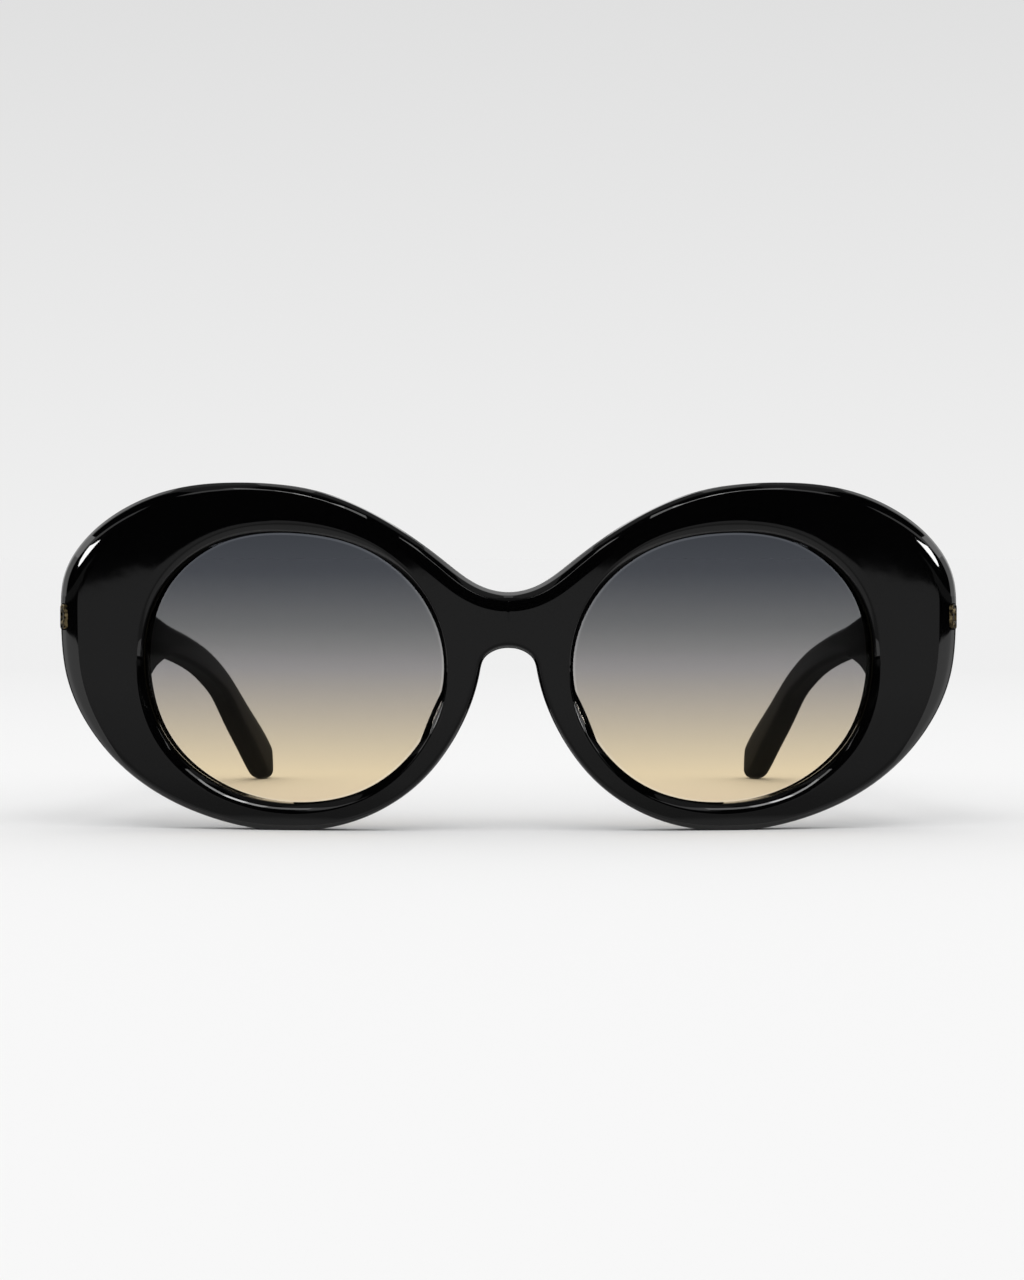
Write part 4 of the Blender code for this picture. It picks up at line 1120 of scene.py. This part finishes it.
def toned(tree, tones):
    """A tone that changes with the distance in front of the bridge."""
    furthest = tones[-1][0]
    ramp = tree.nodes.new("ShaderNodeFloatCurve")
    curve = ramp.mapping.curves[0]
    while len(curve.points) < len(tones):
        curve.points.new(0.5, 0.5)
    for point, (distance, tone) in zip(curve.points, tones):
        point.location = (distance / furthest, tone)
        point.handle_type = "VECTOR"
    ramp.mapping.update()
    fill(tree, ramp, {"Value": along_axis(tree, "Y", BRIDGE_FACE, BRIDGE_FACE - furthest)})
    return ramp.outputs["Value"]


def card_finish(card, tones):
    """Makes a card that only reflections show, of one tone or of tones by distance."""
    material, tree, shader = new_finish(card.name)
    tree.nodes.remove(shader)
    strength = toned(tree, tones) if isinstance(tones, tuple) else tones
    glow = made(tree, "Emission", {"Color": (1, 1, 1, 1), "Strength": strength})
    fill(tree, tree.nodes["Material Output"], {"Surface": glow})
    card.data.materials.append(material)
    for ray in ("camera", "diffuse", "transmission", "shadow", "volume_scatter"):
        setattr(card, f"visible_{ray}", False)


def flat_card(name, places, tones):
    """A card through these places."""
    clear_bench()
    bpy.ops.mesh.primitive_circle_add(vertices=len(places), fill_type="NGON")
    card = named(name)
    for vertex, place in zip(card.data.vertices, places):
        vertex.co = place
    card_finish(card, tones)


def on_dome(azimuth, elevation, radius):
    """A place seen from the frame at an azimuth from the camera's side and an elevation."""
    around, up = radians(azimuth), radians(elevation)
    flat = radius * cos(up)
    return DOME_MIDDLE + Vector((flat * sin(around), -flat * cos(around), radius * sin(up)))


def dome_card(name, azimuths, elevations, radius, tone):
    """A card that bends round the frame between two azimuths and two elevations."""
    clear_bench()
    spans = (abs(end - start) / DOME_FACET for start, end in (azimuths, elevations))
    across, high = (max(1, round(span)) for span in spans)
    bpy.ops.mesh.primitive_grid_add(x_subdivisions=across, y_subdivisions=high, size=2)
    card = named(name)
    for vertex in card.data.vertices:
        right, up = (vertex.co.x + 1) / 2, (vertex.co.y + 1) / 2
        azimuth = azimuths[0] + (azimuths[1] - azimuths[0]) * right
        elevation = elevations[0] + (elevations[1] - elevations[0]) * up
        vertex.co = on_dome(azimuth, elevation, radius)
    card_finish(card, tone)


def level_card(name, places, height, tones):
    """A card that lies level at a height."""
    flat_card(name, [(x, y, height) for x, y in places], tones)


def upright_card(name, across, places, tone):
    """A card that stands upright, edge on to the camera."""
    flat_card(name, [(across, BRIDGE_FACE - distance, z) for distance, z in places], tone)


def side_cards(side, label):
    """The cards on one side of the frame, with half of the bar light over its front."""
    half = BAR_HALF_DEPTH
    for part, (start, end, tone) in enumerate(zip(BAR_LINE, BAR_LINE[1:], BAR_TONES)):
        corners = ((start, -half), (end, -half), (end, half), (start, half))
        places = [(side * x, BRIDGE_FACE - (distance + deep)) for (x, distance), deep in corners]
        level_card(f"bar_light_{label}_{part}", places, BAR_HEIGHT, tone)
    places = [(side * x, BRIDGE_FACE - distance) for x, distance in BAR_END]
    level_card(f"bar_end_light_{label}", places, BAR_HEIGHT, BAR_END_TONE)
    line = [(distance, z + SLOPE_LINE_RISE) for distance, z in SLOPE_LINE]
    line += [(distance, z - SLOPE_LINE_RISE) for distance, z in reversed(SLOPE_LINE)]
    upright_card(f"slope_light_{label}", side * SLOPE_LINE_ACROSS, line, SLOPE_LINE_TONE)
    upright_card(f"lens_flag_{label}", side * LENS_FLAG_ACROSS, LENS_FLAG, 0.0)
    for name, azimuths, *rest in SIDE_DOME_CARDS:
        dome_card(f"{name}_{label}", [side * azimuth for azimuth in azimuths], *rest)
    places = [on_dome(side * azimuth, up, SOFTBOX_RADIUS) for azimuth, up in SOFTBOX_OUTLINE]
    flat_card(f"side_softbox_{label}", places, SOFTBOX_TONE)


def studio_cards():
    """All the cards."""
    for name, right, left, front, back in BLACK_GROUND:
        corners = ((right, front), (left, front), (left, back), (right, back))
        level_card(f"black_ground_{name}", corners, BLACK_LEVEL, 0.0)
    level_card("grey_apron_near", APRON_NEAR, APRON_LEVEL, APRON_TONES)
    level_card("grey_apron_far", APRON_FAR, APRON_LEVEL, APRON_TONES[-1][1])
    for card in DOME_CARDS:
        dome_card(*card)
    side_cards(-1, "right")
    side_cards(1, "left")
    upright_card("middle_flag", 0, MIDDLE_FLAG, 0.0)
    level_card("black_ground_behind", GROUND_BEHIND, BEHIND_LEVEL, BEHIND_TONE)
    flat_card("temple_flag", TEMPLE_FLAG, TEMPLE_FLAG_TONE)


def pale_floor():
    """A matt floor that keeps the frame's shadow, and whose grey darkens a little into the distance
    with painted shade.
    """
    clear_bench()
    bpy.ops.mesh.primitive_plane_add(size=2, location=(0, 0, 0))
    floor = named("studio_floor")
    floor.scale = (FLOOR_REACH, FLOOR_REACH, 1)
    bpy.ops.object.transform_apply()
    material, tree, shader = new_finish("studio_floor")
    # Painted shade: the floor's grey darkens into the distance.
    grey = blend(tree, along_axis(tree, "Y", *FLOOR_SHADE_REACH), *FLOOR_GREY_AND_SHADE)
    fill(tree, shader, {"Base Color": grey, "Roughness": 1.0, "Specular IOR Level": 0.0})
    floor.data.materials.append(material)


def studio_world():
    """Even light all round, and a pale backdrop where it is seen, also in or through a lens, darkened
    upward by painted shade.
    """
    world = bpy.data.worlds.new("studio_world")
    bpy.context.scene.world = world
    world.use_nodes = True
    tree = world.node_tree
    tree.nodes.clear()
    path = tree.nodes.new("ShaderNodeLightPath")
    seen = path.outputs["Is Camera Ray"]
    for kind in ("Is Glossy Ray", "Is Transmission Ray"):
        either = tree.nodes.new("ShaderNodeMath")
        either.operation = "MAXIMUM"
        fill(tree, either, {0: seen, 1: path.outputs[kind]})
        seen = either.outputs["Value"]
    light = made(tree, "Background", {"Color": (1, 1, 1, 1), "Strength": LIGHT_OF_SKY})
    # Painted shade: the backdrop darkens upward.
    tone = spread(tree, along_axis(tree, "Z", 0.0, BACKDROP_SHADE_HEIGHT, "Generated"), *BACKDROP_TONES_AND_SHADE)
    backdrop = made(tree, "Background", {"Color": tone})
    output = tree.nodes.new("ShaderNodeOutputWorld")
    fill(tree, output, {"Surface": mixed(tree, seen, light, backdrop)})


def overhead_softbox():
    """A wide soft light from above, which leaves no reflection."""
    light = bpy.data.lights.new("overhead_softbox", "SUN")
    light.energy = 0.75
    light.angle = radians(60)
    lamp = bpy.data.objects.new("overhead_softbox", light)
    lamp.rotation_euler = (radians(12), 0, 0)
    lamp.visible_glossy = False
    bpy.context.collection.objects.link(lamp)


def photo_camera():
    """A camera in the photo's place, with its frame."""
    data = bpy.data.cameras.new("photo_camera")
    camera = bpy.data.objects.new("photo_camera", data)
    bpy.context.collection.objects.link(camera)
    camera.location = (0, BRIDGE_FACE - CAMERA_DISTANCE, CAMERA_HEIGHT)
    camera.rotation_euler = (pi / 2, 0, 0)
    data.sensor_fit = "VERTICAL"
    data.sensor_height = SENSOR_HEIGHT
    data.lens = PHOTO_FOCAL_LENGTH / PHOTO_HEIGHT * SENSOR_HEIGHT
    data.shift_x, data.shift_y = (shift / PHOTO_HEIGHT for shift in PHOTO_SHIFT)
    data.clip_start, data.clip_end = 0.01, 1000
    bpy.context.scene.camera = camera


pale_floor()
studio_world()
overhead_softbox()
studio_cards()
photo_camera()
bpy.context.scene.view_settings.view_transform = "Standard"
